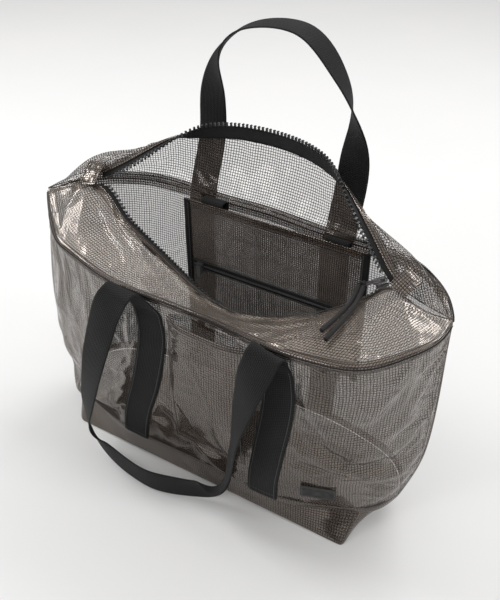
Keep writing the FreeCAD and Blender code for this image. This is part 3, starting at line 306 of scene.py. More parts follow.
def webbing_material(name, dark, across=0.0014, along=0.0018, depth=0.00028):
    """Flat-woven tape: ribs across, twill lines, fuzzy sheen, with a painted highlight on the raised weave and painted
    shade in its grooves.
    """
    m = Mat(name)
    u, x, y = m.uv()
    rib = m.math("SINE", m.math("MULTIPLY", x, 2 * math.pi / across))
    twill = m.math("SINE", m.math("ADD", m.math("MULTIPLY", y, 2 * math.pi / along), m.math("MULTIPLY", x, 2 * math.pi / (across * 2))))
    weave = m.math("MULTIPLY", m.math("ADD", rib, 1.0), m.math("ADD", twill, 1.4))
    h = m.math("MULTIPLY", weave, 0.25)
    n1 = m.noise(u, 900.0, 2.0)
    n2 = m.noise(u, 22.0, 3.0)
    # the colour follows the weave's height: the raised ribs are painted lighter as a painted highlight and the grooves
    # darker as painted shade
    lift = tuple(min(1, c * 2.2 + 0.006) for c in dark)
    c1 = m.mix(m.smooth(h, 0.1, 1.0), dark + (1,), lift + (1,))
    c2 = m.mix(m.smooth(n2, 0.4, 0.75, 0.0, 0.35), c1, tuple(min(1, c * 1.6 + 0.008) for c in dark) + (1,))
    m.set(Base_Color=c2)
    m.set(Roughness=m.smooth(n1, 0.2, 0.8, 0.62, 0.85))
    m.set(Normal=m.bump(m.math("ADD", h, m.math("MULTIPLY", n1, 0.25)), depth, 0.9))
    m.b.inputs["Sheen Weight"].default_value = 0.04
    m.b.inputs["Sheen Roughness"].default_value = 0.45
    m.b.inputs["Specular IOR Level"].default_value = 0.22
    return m.m


def object_material(name, col, rough, metallic=0.0, scale=900.0, depth=0.00006, streak=None, coat=0.0):
    """Moulded or metal pieces: grain, mottling and worn edges from the piece's own position."""
    m = Mat(name)
    tc = m.nt.nodes.new("ShaderNodeTexCoord").outputs["Object"]
    vec = tc
    if streak is not None:
        vec = m.node("ShaderNodeMapping", 0, {"Vector": tc, "Scale": streak})
    n1 = m.noise(vec, scale, 3.0)
    n2 = m.noise(tc, 120.0, 3.0)
    hi = tuple(min(1, c * 1.5 + 0.02) for c in col)
    geo = m.nt.nodes.new("ShaderNodeNewGeometry").outputs["Pointiness"]
    worn = m.smooth(geo, 0.52, 0.60)
    c1 = m.mix(m.smooth(n2, 0.35, 0.7), col + (1,), hi + (1,))
    c2 = m.mix(worn, c1, tuple(min(1, c * 2.4 + 0.05) for c in col) + (1,))
    m.set(Base_Color=c2)
    m.set(Roughness=m.smooth(n1, 0.25, 0.75, rough - 0.07, rough + 0.10))
    m.set(Normal=m.bump(n1, depth, 0.7))
    m.b.inputs["Metallic"].default_value = metallic
    m.b.inputs["Coat Weight"].default_value = coat
    return m.m


FILM = film_material("film", (0.085, 0.063, 0.050), 0.56)
# the front yoke film is the body film tinted lighter: a painted reflection of the key light
FILM_YOKE_PAINTED_REFLECTION = film_material("film_yoke_painted_reflection", (0.420, 0.372, 0.335), 0.42)
FILM_BACK = film_material("film_back", (0.120, 0.094, 0.078), 0.46)
# the back yoke film is also the body film tinted lighter: a painted highlight from the lights
FILM_PAINTED_HIGHLIGHT = film_material("film_painted_highlight", (0.300, 0.262, 0.235), 0.22, ior=1.6)
FILM_DOUBLE = film_material("film_double", (0.125, 0.094, 0.076), 0.62, thread=0.27)
FILM_BASE = film_material("film_base", (0.090, 0.070, 0.058), 0.66)
FILM_POCKET = film_material("film_pocket", (0.340, 0.300, 0.275), 0.36, thread=0.25, pitch=0.0027, gloss=0.2, ior=1.9)
WEB = webbing_material("webbing", (0.0065, 0.0065, 0.0068), 0.0021, 0.0026, 0.0005)
TAPE = webbing_material("zip_tape", (0.012, 0.012, 0.013), 0.0009, 0.0011, 0.00015)
BIND = webbing_material("binding", (0.009, 0.009, 0.009), 0.0012, 0.0010, 0.00016)
LACE = webbing_material("lace", (0.014, 0.013, 0.013), 0.0011, 0.0014, 0.00018)
THREAD = object_material("thread", (0.020, 0.019, 0.019), 0.55, scale=3000.0)
TEETH = object_material("zip_teeth", (0.013, 0.013, 0.014), 0.36, scale=1400.0, coat=0.15)
METAL = object_material("slider_metal", (0.17, 0.17, 0.175), 0.30, 1.0, 700.0, 0.00003, streak=(1.0, 6.0, 6.0))
BLACKMETAL = object_material("small_slider", (0.028, 0.028, 0.028), 0.34, 0.6, 900.0, 0.00003, coat=0.2)
PATCH = object_material("patch", (0.0095, 0.0092, 0.009), 0.62, scale=2600.0, depth=0.00008)

SLOTS = {}


# =============================================================== mesh help
def make(name, verts, faces, mat, uv=None, smooth=True):
    me = bpy.data.meshes.new(name)
    me.from_pydata(np.asarray(verts, float).tolist(), [], [list(map(int, f)) for f in faces])
    me.update()
    if uv is not None:
        lay = me.uv_layers.new(name="cloth")
        li = np.zeros(len(me.loops), np.int32)
        me.loops.foreach_get("vertex_index", li)
        lay.data.foreach_set("uv", np.asarray(uv, np.float32)[li].ravel())
    me.materials.append(mat)
    if smooth:
        me.polygons.foreach_set("use_smooth", [True] * len(me.polygons))
    ob = bpy.data.objects.new(name, me)
    scene.collection.objects.link(ob)
    return ob


def grid_faces(nv, nu, loop_u=False, loop_v=False, start=0):
    idx = np.arange(nv * nu).reshape(nv, nu) + start
    if loop_u:
        idx = np.concatenate([idx, idx[:, :1]], 1)
    if loop_v:
        idx = np.concatenate([idx, idx[:1]], 0)
    return np.stack([idx[:-1, :-1], idx[:-1, 1:], idx[1:, 1:], idx[1:, :-1]], -1).reshape(-1, 4)


def run_lengths(P, axis):
    d = np.linalg.norm(np.diff(P, axis=axis), axis=-1)
    z = np.zeros_like(np.take(d, [0], axis=axis))
    return np.cumsum(np.concatenate([z, d], axis=axis), axis=axis)


def sheet_uv(P):
    """Flat-pattern coordinates in metres: u from the middle column, v up each column."""
    u = run_lengths(P, 1)
    u = u - u[:, [P.shape[1] // 2]]
    v = run_lengths(P, 0)
    return np.stack([u, v], -1) * 0.001


def sheet_mesh(name, P, mat, uv=None):
    """A one-layer film piece from a grid of points in millimetres."""
    uv = sheet_uv(P) if uv is None else uv
    return make(name, P.reshape(-1, 3) * 0.001, grid_faces(*P.shape[:2]), mat, uv.reshape(-1, 2))


def normals_of(P):
    a = np.gradient(P, axis=1)
    b = np.gradient(P, axis=0)
    return unit(np.cross(a, b))


def area_of(P):
    a = P[:-1, 1:] - P[:-1, :-1]
    b = P[1:, :-1] - P[:-1, :-1]
    return float(np.linalg.norm(np.cross(a, b), axis=-1).sum()) * 1e-6


def waves(x, y, seed, scale, count=9):
    """Smooth repeatable random field of roughly +-1, from a few crossed sines."""
    r = np.random.default_rng(seed)
    out = np.zeros_like(x)
    for _ in range(count):
        k = scale * (0.5 + 1.3 * r.random())
        th = r.random() * math.pi
        out = out + np.sin((x * math.cos(th) + y * math.sin(th)) * k + r.random() * 6.28 + 1.3 * np.sin((x * math.sin(th) - y * math.cos(th)) * k * 0.37 + r.random() * 6.28))
    return out / math.sqrt(count) / 1.1


def creases(x, y, seed, scale, count=7, sharp=0.16):
    """Sharp soft-edged ridge lines, as in film that has been folded: about 0..1 at ridges."""
    r = np.random.default_rng(seed)
    out = np.zeros_like(x)
    for _ in range(count):
        f = waves(x, y, int(r.integers(1 << 30)), scale * (0.6 + 0.9 * r.random()), 5)
        out = np.maximum(out, np.exp(-np.abs(f) / sharp) * (0.35 + 0.65 * r.random()) * (0.5 + 0.5 * waves(x, y, int(r.integers(1 << 30)), scale * 0.6, 4)).clip(0, 1))
    return out


def smoothstep(t):
    t = np.clip(t, 0, 1)
    return t * t * (3 - 2 * t)


def strip_closed(name, M, N, th, mat, uvflip=False, ribs=0.0, rib_pitch=3.0, edge=0.5, caps=True, bow=0.0):
    """Closed band: M (stations, across, 3) middle surface, N its normals, th thickness."""
    n, w = M.shape[:2]
    v = run_lengths(M, 0)[:, w // 2]
    u = run_lengths(M, 1)
    u = u - u[:, [-1]] / 2
    half = u[:, -1:].copy()
    round_off = np.sqrt(np.clip(1 - np.clip((np.abs(u) - (half - th * edge)) / (th * edge), 0, 1) ** 2, 0.06, 1))
    height = th / 2 * round_off
    if ribs:
        height = height + ribs * np.cos(u * 2 * math.pi / rib_pitch) * (round_off > 0.9)
    top = M + N * height[..., None]
    bot = M - N * height[..., None]
    ring = np.concatenate([top, bot[:, ::-1]], 1)
    ru = np.concatenate([u, u[:, ::-1]], 1)
    rv = np.repeat(v[:, None], ring.shape[1], 1)
    uv = np.stack([ru, rv], -1) * 0.001
    faces = [list(f) for f in grid_faces(n, ring.shape[1], loop_u=True)]
    if caps:
        k = ring.shape[1]
        for i in range(w - 1):
            faces.append([i, k - 1 - i, k - 2 - i, i + 1])
            o = (n - 1) * k
            faces.append([o + i, o + i + 1, o + k - 2 - i, o + k - 1 - i])
    ob = make(name, ring.reshape(-1, 3) * 0.001, faces, mat, uv.reshape(-1, 2))
    return ob


def tube(name, P, radius, mat, sides=8, pinch=None, caps=True, shape=None):
    """Round section along points P in millimetres; radius may vary along it."""
    P = np.asarray(P, float)
    n = len(P)
    T = unit(np.gradient(P, axis=0))
    ref = np.array((0.0, 0, 1)) if abs(T[0][2]) < 0.9 else np.array((1.0, 0, 0))
    A = [unit(ref - T[0] * (ref @ T[0]))]
    for i in range(1, n):
        a = A[-1] - T[i] * (A[-1] @ T[i])
        A.append(unit(a))
    A = np.array(A)
    B = np.cross(T, A)
    th = np.arange(sides) * 2 * math.pi / sides
    r = np.broadcast_to(np.asarray(radius, float), (n,))[:, None]
    r = np.repeat(r, sides, 1)
    if shape is not None:
        r = r * shape(run_lengths(P[:, None], 0)[:, 0], th)
    ring = P[:, None] + A[:, None] * (np.cos(th)[None, :, None] * r[..., None]) + B[:, None] * (np.sin(th)[None, :, None] * r[..., None])
    s = run_lengths(P[:, None], 0)[:, 0]
    uv = np.stack([np.repeat((th * float(r.mean()))[None], n, 0), np.repeat(s[:, None], sides, 1)], -1) * 0.001
    faces = [list(f) for f in grid_faces(n, sides, loop_u=True)]
    if caps:
        faces.append(list(range(sides))[::-1])
        faces.append([(n - 1) * sides + k for k in range(sides)])
    return make(name, ring.reshape(-1, 3) * 0.001, faces, mat, uv.reshape(-1, 2))


def stitches(name, lines, body, pitch=3.3, long=2.5, r=0.33, mat=None):
    """Rows of separate thread stitches that dip into the cloth. lines: (points, normals) in millimetres."""
    V, F = [], []
    at = 0
    prof = [(-0.5, -0.9), (-0.38, 0.25), (0.0, 0.75), (0.38, 0.25), (0.5, -0.9)]
    th = np.arange(5) * 2 * math.pi / 5
    for P, Nn in lines:
        P, Nn = np.asarray(P, float), np.asarray(Nn, float)
        s = run_lengths(P[:, None], 0)[:, 0]
        cnt = int(s[-1] // pitch)
        if cnt < 1:
            continue
        c = (np.arange(cnt) + 0.5) * s[-1] / cnt
        rings = []
        for k, hh in prof:
            q = np.clip(c + k * long, 0, s[-1])
            pt = np.stack([np.interp(q, s, P[:, a]) for a in range(3)], -1)
            nn = unit(np.stack([np.interp(q, s, Nn[:, a]) for a in range(3)], -1))
            rings.append((pt + nn * (hh * r), nn))
        tan = unit(rings[3][0] - rings[1][0])
        for pt, nn in rings:
            side = unit(np.cross(tan, nn))
            V.append(pt[:, None] + nn[:, None] * (np.cos(th)[None, :, None] * r * 0.9) + side[:, None] * (np.sin(th)[None, :, None] * r))
        block = np.stack(V[-5:], 1)  # cnt, 5, 5, 3
        del V[-5:]
        V.append(block.reshape(-1, 3))
        base = grid_faces(5, 5, loop_u=True)
        for k in range(cnt):
            F.append(base + at + k * 25)
        at += cnt * 25
    ob = make(name, np.concatenate(V) * 0.001, np.concatenate(F), mat or THREAD, np.concatenate(V)[:, [0, 2]] * 0.001)
    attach(ob, body)
    return ob


# =============================================================== film panels with their folds
def wrinkle(P, N, amp, mask, seed, scale=0.035, crease=0.9, droop=None):
    x, y = sheet_uv(P)[..., 0] * 1000, sheet_uv(P)[..., 1] * 1000
    d = amp * 0.55 * waves(x, y, seed, scale) + amp * crease * (creases(x, y, seed + 5, scale * 0.75) - 0.22)
    d = d + amp * 0.40 * waves(x, y, seed + 9, scale * 2.3, 8)
    if droop is not None:
        d = d + droop(x, y, P)
    return P + N * (d * mask)[..., None]


def edge_mask(nv, nu, P, left, right, bottom, top):
    """0 at the sewn edges, rising to 1 that many millimetres in."""
    u, v = run_lengths(P, 1), run_lengths(P, 0)
    m = np.ones((nv, nu))
    for dist, w in ((u, left), (u[:, [-1]] - u, right), (v, bottom), (v[[-1]] - v, top)):
        if w:
            m = m * smoothstep(dist / w)
    return m


SIMS = []


def add_sim(ob, P, mask, cap, grow):
    SIMS.append((ob, P, mask, cap, grow))


def run_sims():
    """Lets the pieces buckle a little between their sewn edges, all together."""
    if not SIMS:
        return
    for ob, P, mask, cap, grow in SIMS:
        g = ob.vertex_groups.new(name="pin")
        w = 1 - mask.ravel()
        for lo in np.arange(0, 1.0, 0.1):
            sel = np.where((w > lo) & (w <= lo + 0.1))[0]
            if len(sel):
                g.add(sel.tolist(), float(min(1.0, (lo + 0.1) ** 3 if lo < 0.85 else 1.0)), "REPLACE")
        md = ob.modifiers.new("c", "CLOTH")
        s = md.settings
        s.quality = 4
        s.mass = 0.25
        s.tension_stiffness = 15
        s.compression_stiffness = 15
        s.shear_stiffness = 8
        s.bending_stiffness = 1.2
        s.air_damping = 3.0
        s.vertex_group_mass = "pin"
        s.pin_stiffness = 1.0
        s.shrink_min = -grow
        s.effector_weights.gravity = 0.15
        md.collision_settings.use_collision = False
        md.collision_settings.use_self_collision = False
        md.point_cache.frame_start, md.point_cache.frame_end = 1, 24
    for f in range(1, 23):
        scene.frame_set(f)
    dg = bpy.context.evaluated_depsgraph_get()
    for ob, P, mask, cap, grow in SIMS:
        ev = ob.evaluated_get(dg)
        co = np.zeros(len(ob.data.vertices) * 3, np.float32)
        ev.data.vertices.foreach_get("co", co)
        co = co.reshape(-1, 3).astype(float)
        ob.modifiers.clear()
        ob.vertex_groups.clear()
        rest = P.reshape(-1, 3) * 0.001
        now = np.zeros(len(co) * 3, np.float32)
        ob.data.vertices.foreach_get("co", now)
        now = now.reshape(-1, 3).astype(float)
        bad = ~np.isfinite(co).all(1)
        co[bad] = now[bad]
        d = co - rest
        ln = np.linalg.norm(d, axis=1, keepdims=True)
        lim = cap * 0.001 * mask.ravel()[:, None]
        d = d * (lim / np.maximum(ln, 1e-9)) * np.tanh(ln / np.maximum(lim, 1e-9))
        ob.data.vertices.foreach_set("co", (rest + d).astype(np.float32).ravel())
        ob.data.update()
    scene.frame_set(1)


S = np.linspace
# ---- front panel
nu, nv = 181, 91
gs, gv = S(0.003, 0.997, nu), S(0.0, 1.0, nv)
P = front_net.grid(gs, gv)
N = normals_of(P)
F_LEG_L = [(-91, 37.5), (-84, 67), (-72, 106), (-60, 140), (-51, 174), (-45, 205), (-43, 234), (-48, 260)]
F_LEG_R = [(97, 37.5), (101, 72), (107, 106), (113, 140), (119, 175), (123, 206), (124, 234), (121.5, 258)]
mask_f = edge_mask(nv, nu, P, 9, 9, 10, 9)
for leg in (F_LEG_L, F_LEG_R):
    lx = np.interp(P[..., 2], [p[1] for p in leg], [p[0] for p in leg])
    mask_f = mask_f * smoothstep((np.abs(P[..., 0] - lx) - 19.5) / 13)
# under the slip pocket and the patch the panel stays quiet
quiet = smoothstep((np.maximum(np.abs(P[..., 0] - 29) - 46, np.abs(P[..., 2] - 172) - 90)) / 12)
mask_f = mask_f * (0.06 + 0.94 * quiet)
mask_f = mask_f * (0.03 + 0.97 * smoothstep(np.maximum(np.abs(P[..., 0] - 167) - 23, np.abs(P[..., 2] - 80) - 16) / 55))
front_P = P.copy()


def fold_fan(P, at, seed, reach, count, amp):
    """Ridges that spread from a point, such as a tab or a gathered corner."""
    d = P - np.array(at, float)
    r = np.linalg.norm(d, axis=-1)
    th = np.arctan2(d[..., 2] + 0.001, np.hypot(d[..., 0], d[..., 1]) * np.sign(d[..., 0] + 0.001))
    rr = np.random.default_rng(seed)
    return amp * np.sin(th * count + rr.random() * 6 + 0.6 * np.sin(th * 3.1)) * np.exp(-r / reach) * smoothstep(r / 18)


Pw = wrinkle(P, N, 5.2, mask_f, 21, 0.038, 0.9, lambda x, y, q: 2.4 * fold_fan(q, (258, 0, 300), 3, 120, 9, 1.0) + 2.4 * fold_fan(q, (-259, 0, 300), 4, 120, 9, 1.0))
ob = sheet_mesh("front_panel_film", Pw, FILM, sheet_uv(P))
add_sim(ob, P, mask_f, 8.5, 0.012)
front_ob, front_area = ob, area_of(P)

# ---- back panel
P = back_net.grid(gs, gv)
N = normals_of(P)
mask_b = edge_mask(nv, nu, P, 9, 9, 10, 9)
for xc in (-94, 93):
    mask_b = mask_b * smoothstep((np.abs(P[..., 0] - xc) - 19.5) / 13)
# the hanging pocket is close to the upper part
mask_b = mask_b * (0.35 + 0.65 * smoothstep(np.maximum(np.abs(P[..., 0] - 17) - 128, 115 - P[..., 2]) / 20))
Pw = wrinkle(P, N, 4.2, mask_b, 57, 0.038, 0.9, lambda x, y, q: 2.0 * fold_fan(q, (258, 0, 300), 5, 120, 8, 1.0) + 2.0 * fold_fan(q, (-259, 0, 300), 6, 120, 8, 1.0))
ob = sheet_mesh("back_panel_film", Pw, FILM_BACK, sheet_uv(P))
add_sim(ob, P, mask_b, 6.0, 0.010)
back_ob, back_area = ob, area_of(P)
back_P = P.copy()

# ---- yokes
TAB_L = [(-178, -2, 337), (-200, -3, 331), (-206, 26, 350), (-184, 30, 351)]
TAB_R = [(188.5, 10.8, 321.4), (209.1, 0.7, 316.6), (217.8, 25.6, 324.2), (198, 36, 331)]


def tab_mask(P):
    m = np.ones(P.shape[:2])
    for c in (TAB_L, TAB_R):
        mid = np.mean(np.array(c, float), 0)
        m = m * smoothstep((np.linalg.norm(P - mid, axis=-1) - 20) / 16)
    return m


yn, ym = 181, 41
P = front_yoke_net.grid(S(0, 1, yn), S(0.0, 1.0, ym))
N = normals_of(P)
mask = edge_mask(ym, yn, P, 10, 10, 7, 13) * tab_mask(P)
lace = smoothstep(np.maximum(np.abs(P[..., 0] - 160) - 24, P[..., 1] - 45) / 14)
mask = mask * (0.10 + 0.90 * lace)
Pw = wrinkle(P, N, 4.2, mask, 83, 0.040, 1.0, lambda x, y, q: 4.2 * fold_fan(q, (-192, 12, 342), 7, 60, 11, 1.0) + 3.0 * fold_fan(q, (200, 18, 318), 8, 55, 11, 1.0))
ob = sheet_mesh("front_yoke_film", Pw, FILM_YOKE_PAINTED_REFLECTION, sheet_uv(P))
add_sim(ob, P, mask, 6.5, 0.014)
fy_ob, fy_area, fy_P = ob, area_of(P), P.copy()

P = back_yoke_net.grid(S(0, 1, yn), S(0.0, 1.0, ym))
N = normals_of(P)
mask = edge_mask(ym, yn, P, 10, 10, 7, 13) * tab_mask(P)
Pw = wrinkle(P, N, 3.8, mask, 113, 0.040, 1.0, lambda x, y, q: 4.0 * fold_fan(q, (-192, 12, 342), 9, 60, 11, 1.0) + 3.6 * fold_fan(q, (200, 18, 318), 10, 60, 11, 1.0))
ob = sheet_mesh("back_yoke_film", Pw, FILM_PAINTED_HIGHLIGHT, sheet_uv(P))
add_sim(ob, P, mask, 6.0, 0.012)
by_ob, by_area, by_P = ob, area_of(P), P.copy()

run_sims()


def declare(ob, body, nodes):
    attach(ob, body)
    if nodes:
        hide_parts(*nodes)


declare(front_ob, "bag", ["front_panel"])
declare(back_ob, "bag", ["back_panel"])
declare(fy_ob, "bag", ["front_yoke"])
declare(by_ob, "bag", ["back_yoke"])

# =============================================================== base: band and floor
BL, BW, BH = 202.0, 72.0, 34.6
TRAY = [((-BL, 0), (-236, 6)), ((-BL, -30), (-228, -23)), ((-BL, -52), (-217, -42)), ((-BL, -BW + 6), (-207, -52)), ((-BL + 6, -BW), (-196, -56.5)),
        ((-175, -BW), (-176, -62.4)), ((-145, -BW), (-147, -69.2)), ((-110, -BW), (-112, -75)), ((-56, -BW), (-56, -76)), ((0, -BW), (0, -75.5)), ((56, -BW), (56, -76)),
        ((106, -BW), (108, -76)), ((150, -BW), (146, -66.6)), ((178, -BW), (172, -56.2)), ((BL - 3, -BW), (196, -46)), ((BL, -BW + 3), (207, -41)), ((BL, -46), (217, -33)),
        ((BL, -25), (227, -20)), ((BL, 0), (236, 6)),
        ((BL, 30), (227, 31)), ((BL, 52), (217, 43)), ((BL, BW - 6), (207, 52)), ((BL - 6, BW), (196, 57.5)), ((175, BW), (176, 64)), ((140, BW), (142, 71)), ((100, BW), (102, 75.3)),
        ((50, BW), (52, 76)), ((0, BW), (0, 76)), ((-50, BW), (-52, 76)), ((-100, BW), (-102, 75.3)), ((-140, BW), (-142, 71)), ((-175, BW), (-176, 64)), ((-BL + 6, BW), (-196, 58)),
        ((-BL, BW - 6), (-207, 54)), ((-BL, 52), (-217, 45)), ((-BL, 30), (-227, 33))]
low = np.array([p[0] for p in TRAY], float)
top = np.array([p[1] for p in TRAY], float)
m = 8
tt = np.arange(len(TRAY) * m) / m
k0 = np.floor(tt).astype(int) % len(TRAY)
k1 = (k0 + 1) % len(TRAY)
ff = (tt % 1)[:, None]
low_d, top_d = low[k0] * (1 - ff) + low[k1] * ff, top[k0] * (1 - ff) + top[k1] * ff
for _ in range(5):
    low_d = (np.roll(low_d, 1, 0) + 2 * low_d + np.roll(low_d, -1, 0)) / 4
rows = []
hs = [0.0, 0.03, 0.09, 0.18, 0.3, 0.42, 0.54, 0.66, 0.78, 0.9, 1.0]
cen = np.array((0.0, 0.0))
for h in hs:
    xy = low_d * (1 - h) + top_d * h
    tuck = 1.6 * (1 - h / 0.09) ** 2 if h < 0.09 else 0.0
    inward = -unit(xy * np.array((0.33, 1.0)))
    xy = xy + inward * (tuck + 0.25)
    z = 0.5 + (BH - 0.5) * h
    rows.append(np.concatenate([xy, np.full((len(xy), 1), z)], 1))
band = np.array(rows)
nb = band.shape[1]
ang = run_lengths(np.concatenate([band, band[:, :1]], 1), 1)[len(hs) // 2][:-1]
bn = unit(np.cross(np.roll(band, -1, 1) - np.roll(band, 1, 1), np.gradient(band, axis=0)))
amp = np.interp(hs, [0, 0.15, 0.5, 0.85, 1], [0, 0.25, 1, 0.35, 0])[:, None]
px, py = np.repeat(ang[None], len(hs), 0), np.repeat((np.array(hs) * 36)[:, None], nb, 1)
per = float(ang[-1])
fieldw = waves(px, py, 31, 0.055) * 1.0 + 1.1 * (creases(px, py, 33, 0.045) - 0.2)
seam_fade = smoothstep(np.minimum(px, per - px) / 25)
band = band + bn * (-np.abs(fieldw) * amp * seam_fade * 0.9)[..., None]
uv = np.stack([np.repeat(ang[None], len(hs), 0), np.repeat((np.array(hs) * 36)[:, None], nb, 1)], -1) * 0.001
bandf = grid_faces(len(hs), nb, loop_u=True)
# the wrap column shares vertices, so its faces get their own texture column
bv = np.concatenate([band, band[:, :1]], 1)
uvw = np.concatenate([uv, uv[:, :1] + np.array(((per + 3.0) * 0.001, 0.0))], 1)
base_band = make("base_band", bv.reshape(-1, 3) * 0.001, grid_faces(len(hs), nb + 1), FILM_BASE, uvw.reshape(-1, 2))
ring = band[0]
rows = []
for k in (1.0, 0.985, 0.94, 0.86, 0.76, 0.66, 0.56, 0.46, 0.36, 0.26, 0.16, 0.06):
    spine = np.clip(ring[:, :1], -125, 125) * np.array((1.0, 0.0))
    xy = spine + (ring[:, :2] - spine) * k
    zz = 0.5 + 0.5 * (waves(xy[:, 0], xy[:, 1], 77, 0.03) + 1) * smoothstep((1 - k) * 8) * 0.8
    rows.append(np.concatenate([xy, zz[:, None]], 1))
fl = np.array(rows)
base_floor = make("base_floor", fl.reshape(-1, 3) * 0.001, list(map(list, grid_faces(len(rows), nb, loop_u=True)[:, ::-1])), FILM_BASE, fl.reshape(-1, 3)[:, :2] * 0.001)
# close the middle of the floor: the hole inside the innermost row is filled further down
inner = fl[-1]
o = inner[np.argsort(np.arctan2(inner[:, 1], inner[:, 0] * 0.02))]
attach(base_band, "bag")
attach(base_floor, "bag")
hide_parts("base_panel")
me = base_floor.data
import bmesh

bm = bmesh.new()
bm.from_mesh(me)
edges = [e for e in bm.edges if e.is_boundary]
inner_idx = set(range((len(rows) - 1) * nb, len(rows) * nb))
edges = [e for e in edges if all(v.index in inner_idx for v in e.verts)]
r = bmesh.ops.holes_fill(bm, edges=edges, sides=0)
bm.to_mesh(me)
bm.free()

# =============================================================== seams, welts and topstitching
def lift(net, s, v, h):
    s = np.asarray(s, float)
    return net.at(s, v) + net.normal(s, v) * h


ss = S(0.004, 0.996, 260)


def welt(name, net_low, net_top, s_low, s_top, v_low, v_top, h, mat):
    """A folded seam that covers the joint between two panels."""
    rows = [
        lift(net_low, s_low, v_low, 0.25 * h),
        lift(net_low, s_low, v_low + (1 - v_low) * 0.35, 0.8 * h),
        lift(net_low, s_low, 1.0, h * 1.1),
        lift(net_top, s_top, 0.0, h * 1.1),
        lift(net_top, s_top, v_top * 0.65, 0.8 * h),
        lift(net_top, s_top, v_top, 0.25 * h),
    ]
    ctrl = np.array(rows)
    P = spline(ctrl, S(0, 5, 13))
    ob = sheet_mesh(name, P, mat)
    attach(ob, "bag")
    return ob


welt("rim_seam_front", front_net, front_yoke_net, ss, ss, 0.975, 0.06, 0.85, FILM_DOUBLE)
# the back nets have 15 and 13 columns of uneven pace, so match them by X
yb = back_yoke_net.at(ss, np.zeros_like(ss))
sb, _ = back_net.find(np.clip(yb[:, 0], -258.5, 258.5), np.full(len(ss), 305.5))
welt("rim_seam_back", back_net, back_yoke_net, np.clip(sb, 0.002, 0.998), ss, 0.975, 0.06, 0.85, FILM_DOUBLE)

for nm, net, v in (("rim_piping_front", front_net, 1.0), ("rim_piping_back", back_yoke_net, 0.012)):
    s = S(0.006, 0.994, 300)
    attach(tube(nm, lift(net, s, v, 1.1), 0.85, TAPE, sides=8), "bag")
rows = []
for net in (front_net, back_net):
    for v in (0.010, 0.028):
        s = S(0.01, 0.99, 420)
        rows.append((lift(net, s, v, 0.75), net.normal(s, np.full(len(s), v))))
stitches("base_seam_stitches", rows, "bag", 3.2, 2.4, 0.36)
rows = []
for net, v, s0, s1 in ((front_net, 0.978, 0.01, 0.99), (front_yoke_net, 0.055, 0.02, 0.98), (back_yoke_net, 0.055, 0.02, 0.98), (back_net, 0.975, 0.01, 0.99)):
    s = S(s0, s1, 420)
    rows.append((lift(net, s, v, 0.75), net.normal(s, np.full(len(s), v))))
stitches("rim_seam_stitches", rows, "bag", 3.0, 2.2, 0.34)
# base seam: the band's folded top edge stands on the panels
for nm, net in (("base_seam_front", front_net), ("base_seam_back", back_net)):
    s = S(0.004, 0.996, 260)
    ctrl = np.array([lift(net, s, 0.0, 0.9), lift(net, s, 0.012, 0.95), lift(net, s, 0.026, 0.8), lift(net, s, 0.036, 0.25)])
    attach(sheet_mesh(nm, spline(ctrl, S(0, 3, 8)), FILM_DOUBLE), "bag")

# side seams: a narrow turned edge down both ends
for nm, side in (("left", SIDE_L), ("right", SIDE_R)):
    sd = np.array(side, float)
    line = spline(sd, S(0, 5, 90))
    line[:, 0] -= np.sign(line[:, 0]) * 0.4
    t0 = tube("side_seam_" + nm, line, 1.15, FILM_DOUBLE, sides=8)
    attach(t0, "bag")
rows = []
for net in (front_net, back_net):
    for s in (0.016, 0.984):
        v = S(0.01, 0.99, 120)
        ssv = np.full(len(v), s)
        rows.append((net.at(ssv, v) + net.normal(ssv, v) * 0.35, net.normal(ssv, v)))
stitches("side_seam_stitches", rows, "bag", 3.3, 2.4, 0.33)

# allowances inside both rims
for nm, net, low_v in (("back_rim_allowance", back_net, 1 - 15.0 / 272), ("front_rim_allowance", front_net, 1 - 13.0 / 245)):
    s = S(0.05, 0.95, 220)
    v = S(low_v, 0.995, 6)
    P = net.grid(s, v)
    nn = normals_of(P)
    P = P - nn * (SKIN + 0.6 + 0.25 * waves(P[..., 0], P[..., 2], 41, 0.05))[..., None]
    ob = sheet_mesh(nm + "_film", P, FILM_DOUBLE)
    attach(ob, "bag")
    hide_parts(nm)
    e = net.at(s, np.full(len(s), low_v + 0.01))
    n2 = -net.normal(s, np.full(len(s), low_v + 0.01))
    stitches(nm + "_stitches", [(e + n2 * (SKIN + 1.0), n2)], "bag", 3.0, 2.2, 0.32)


# zip edges: rolled fold and topstitch
def zip_fold(name, net, s0, s1):
    s = S(s0, s1, 400)
    p = net.at(s, np.ones(len(s)))
    q = net.at(s, np.full(len(s), 0.93))
    run = unit(p - q)
    nn = net.normal(s, np.ones(len(s)))
    nn = unit(nn - run * (nn * run).sum(-1, keepdims=True))
    rows = []
    high = np.linalg.norm(net.at(s, np.ones(len(s))) - net.at(s, np.full(len(s), 0.9)), axis=-1) / 0.1
    for k, h in ((-7.0, 0.12), (-3.0, 0.30), (-0.6, 0.30), (0.15, -0.05), (0.25, -0.5), (-0.3, -0.95), (-3.0, -1.05), (-7.5, -1.05)):
        vk = 1 + k / high
        base = net.at(s, np.clip(vk, 0, 1)) if k < 0 else p + run * k
        rows.append(base + nn * h)
    ctrl = np.array(rows)
    ob = sheet_mesh(name, spline(ctrl, S(0, len(rows) - 1, 24)), FILM_DOUBLE)
    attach(ob, "bag")
    v = 1 - 3.6 / high
    e = net.at(s, v) + nn * 0.55
    stitches(name + "_stitches", [(e, nn)], "bag", 2.7, 2.0, 0.33)


fz0, fz1 = 2.05 / 14, 11.85 / 14
bz0, bz1 = 2.15 / 12, 9.95 / 12
zip_fold("front_zip_edge", front_yoke_net, fz0 - 0.01, fz1 + 0.01)
zip_fold("back_zip_edge", back_yoke_net, bz0 - 0.01, bz1 + 0.01)
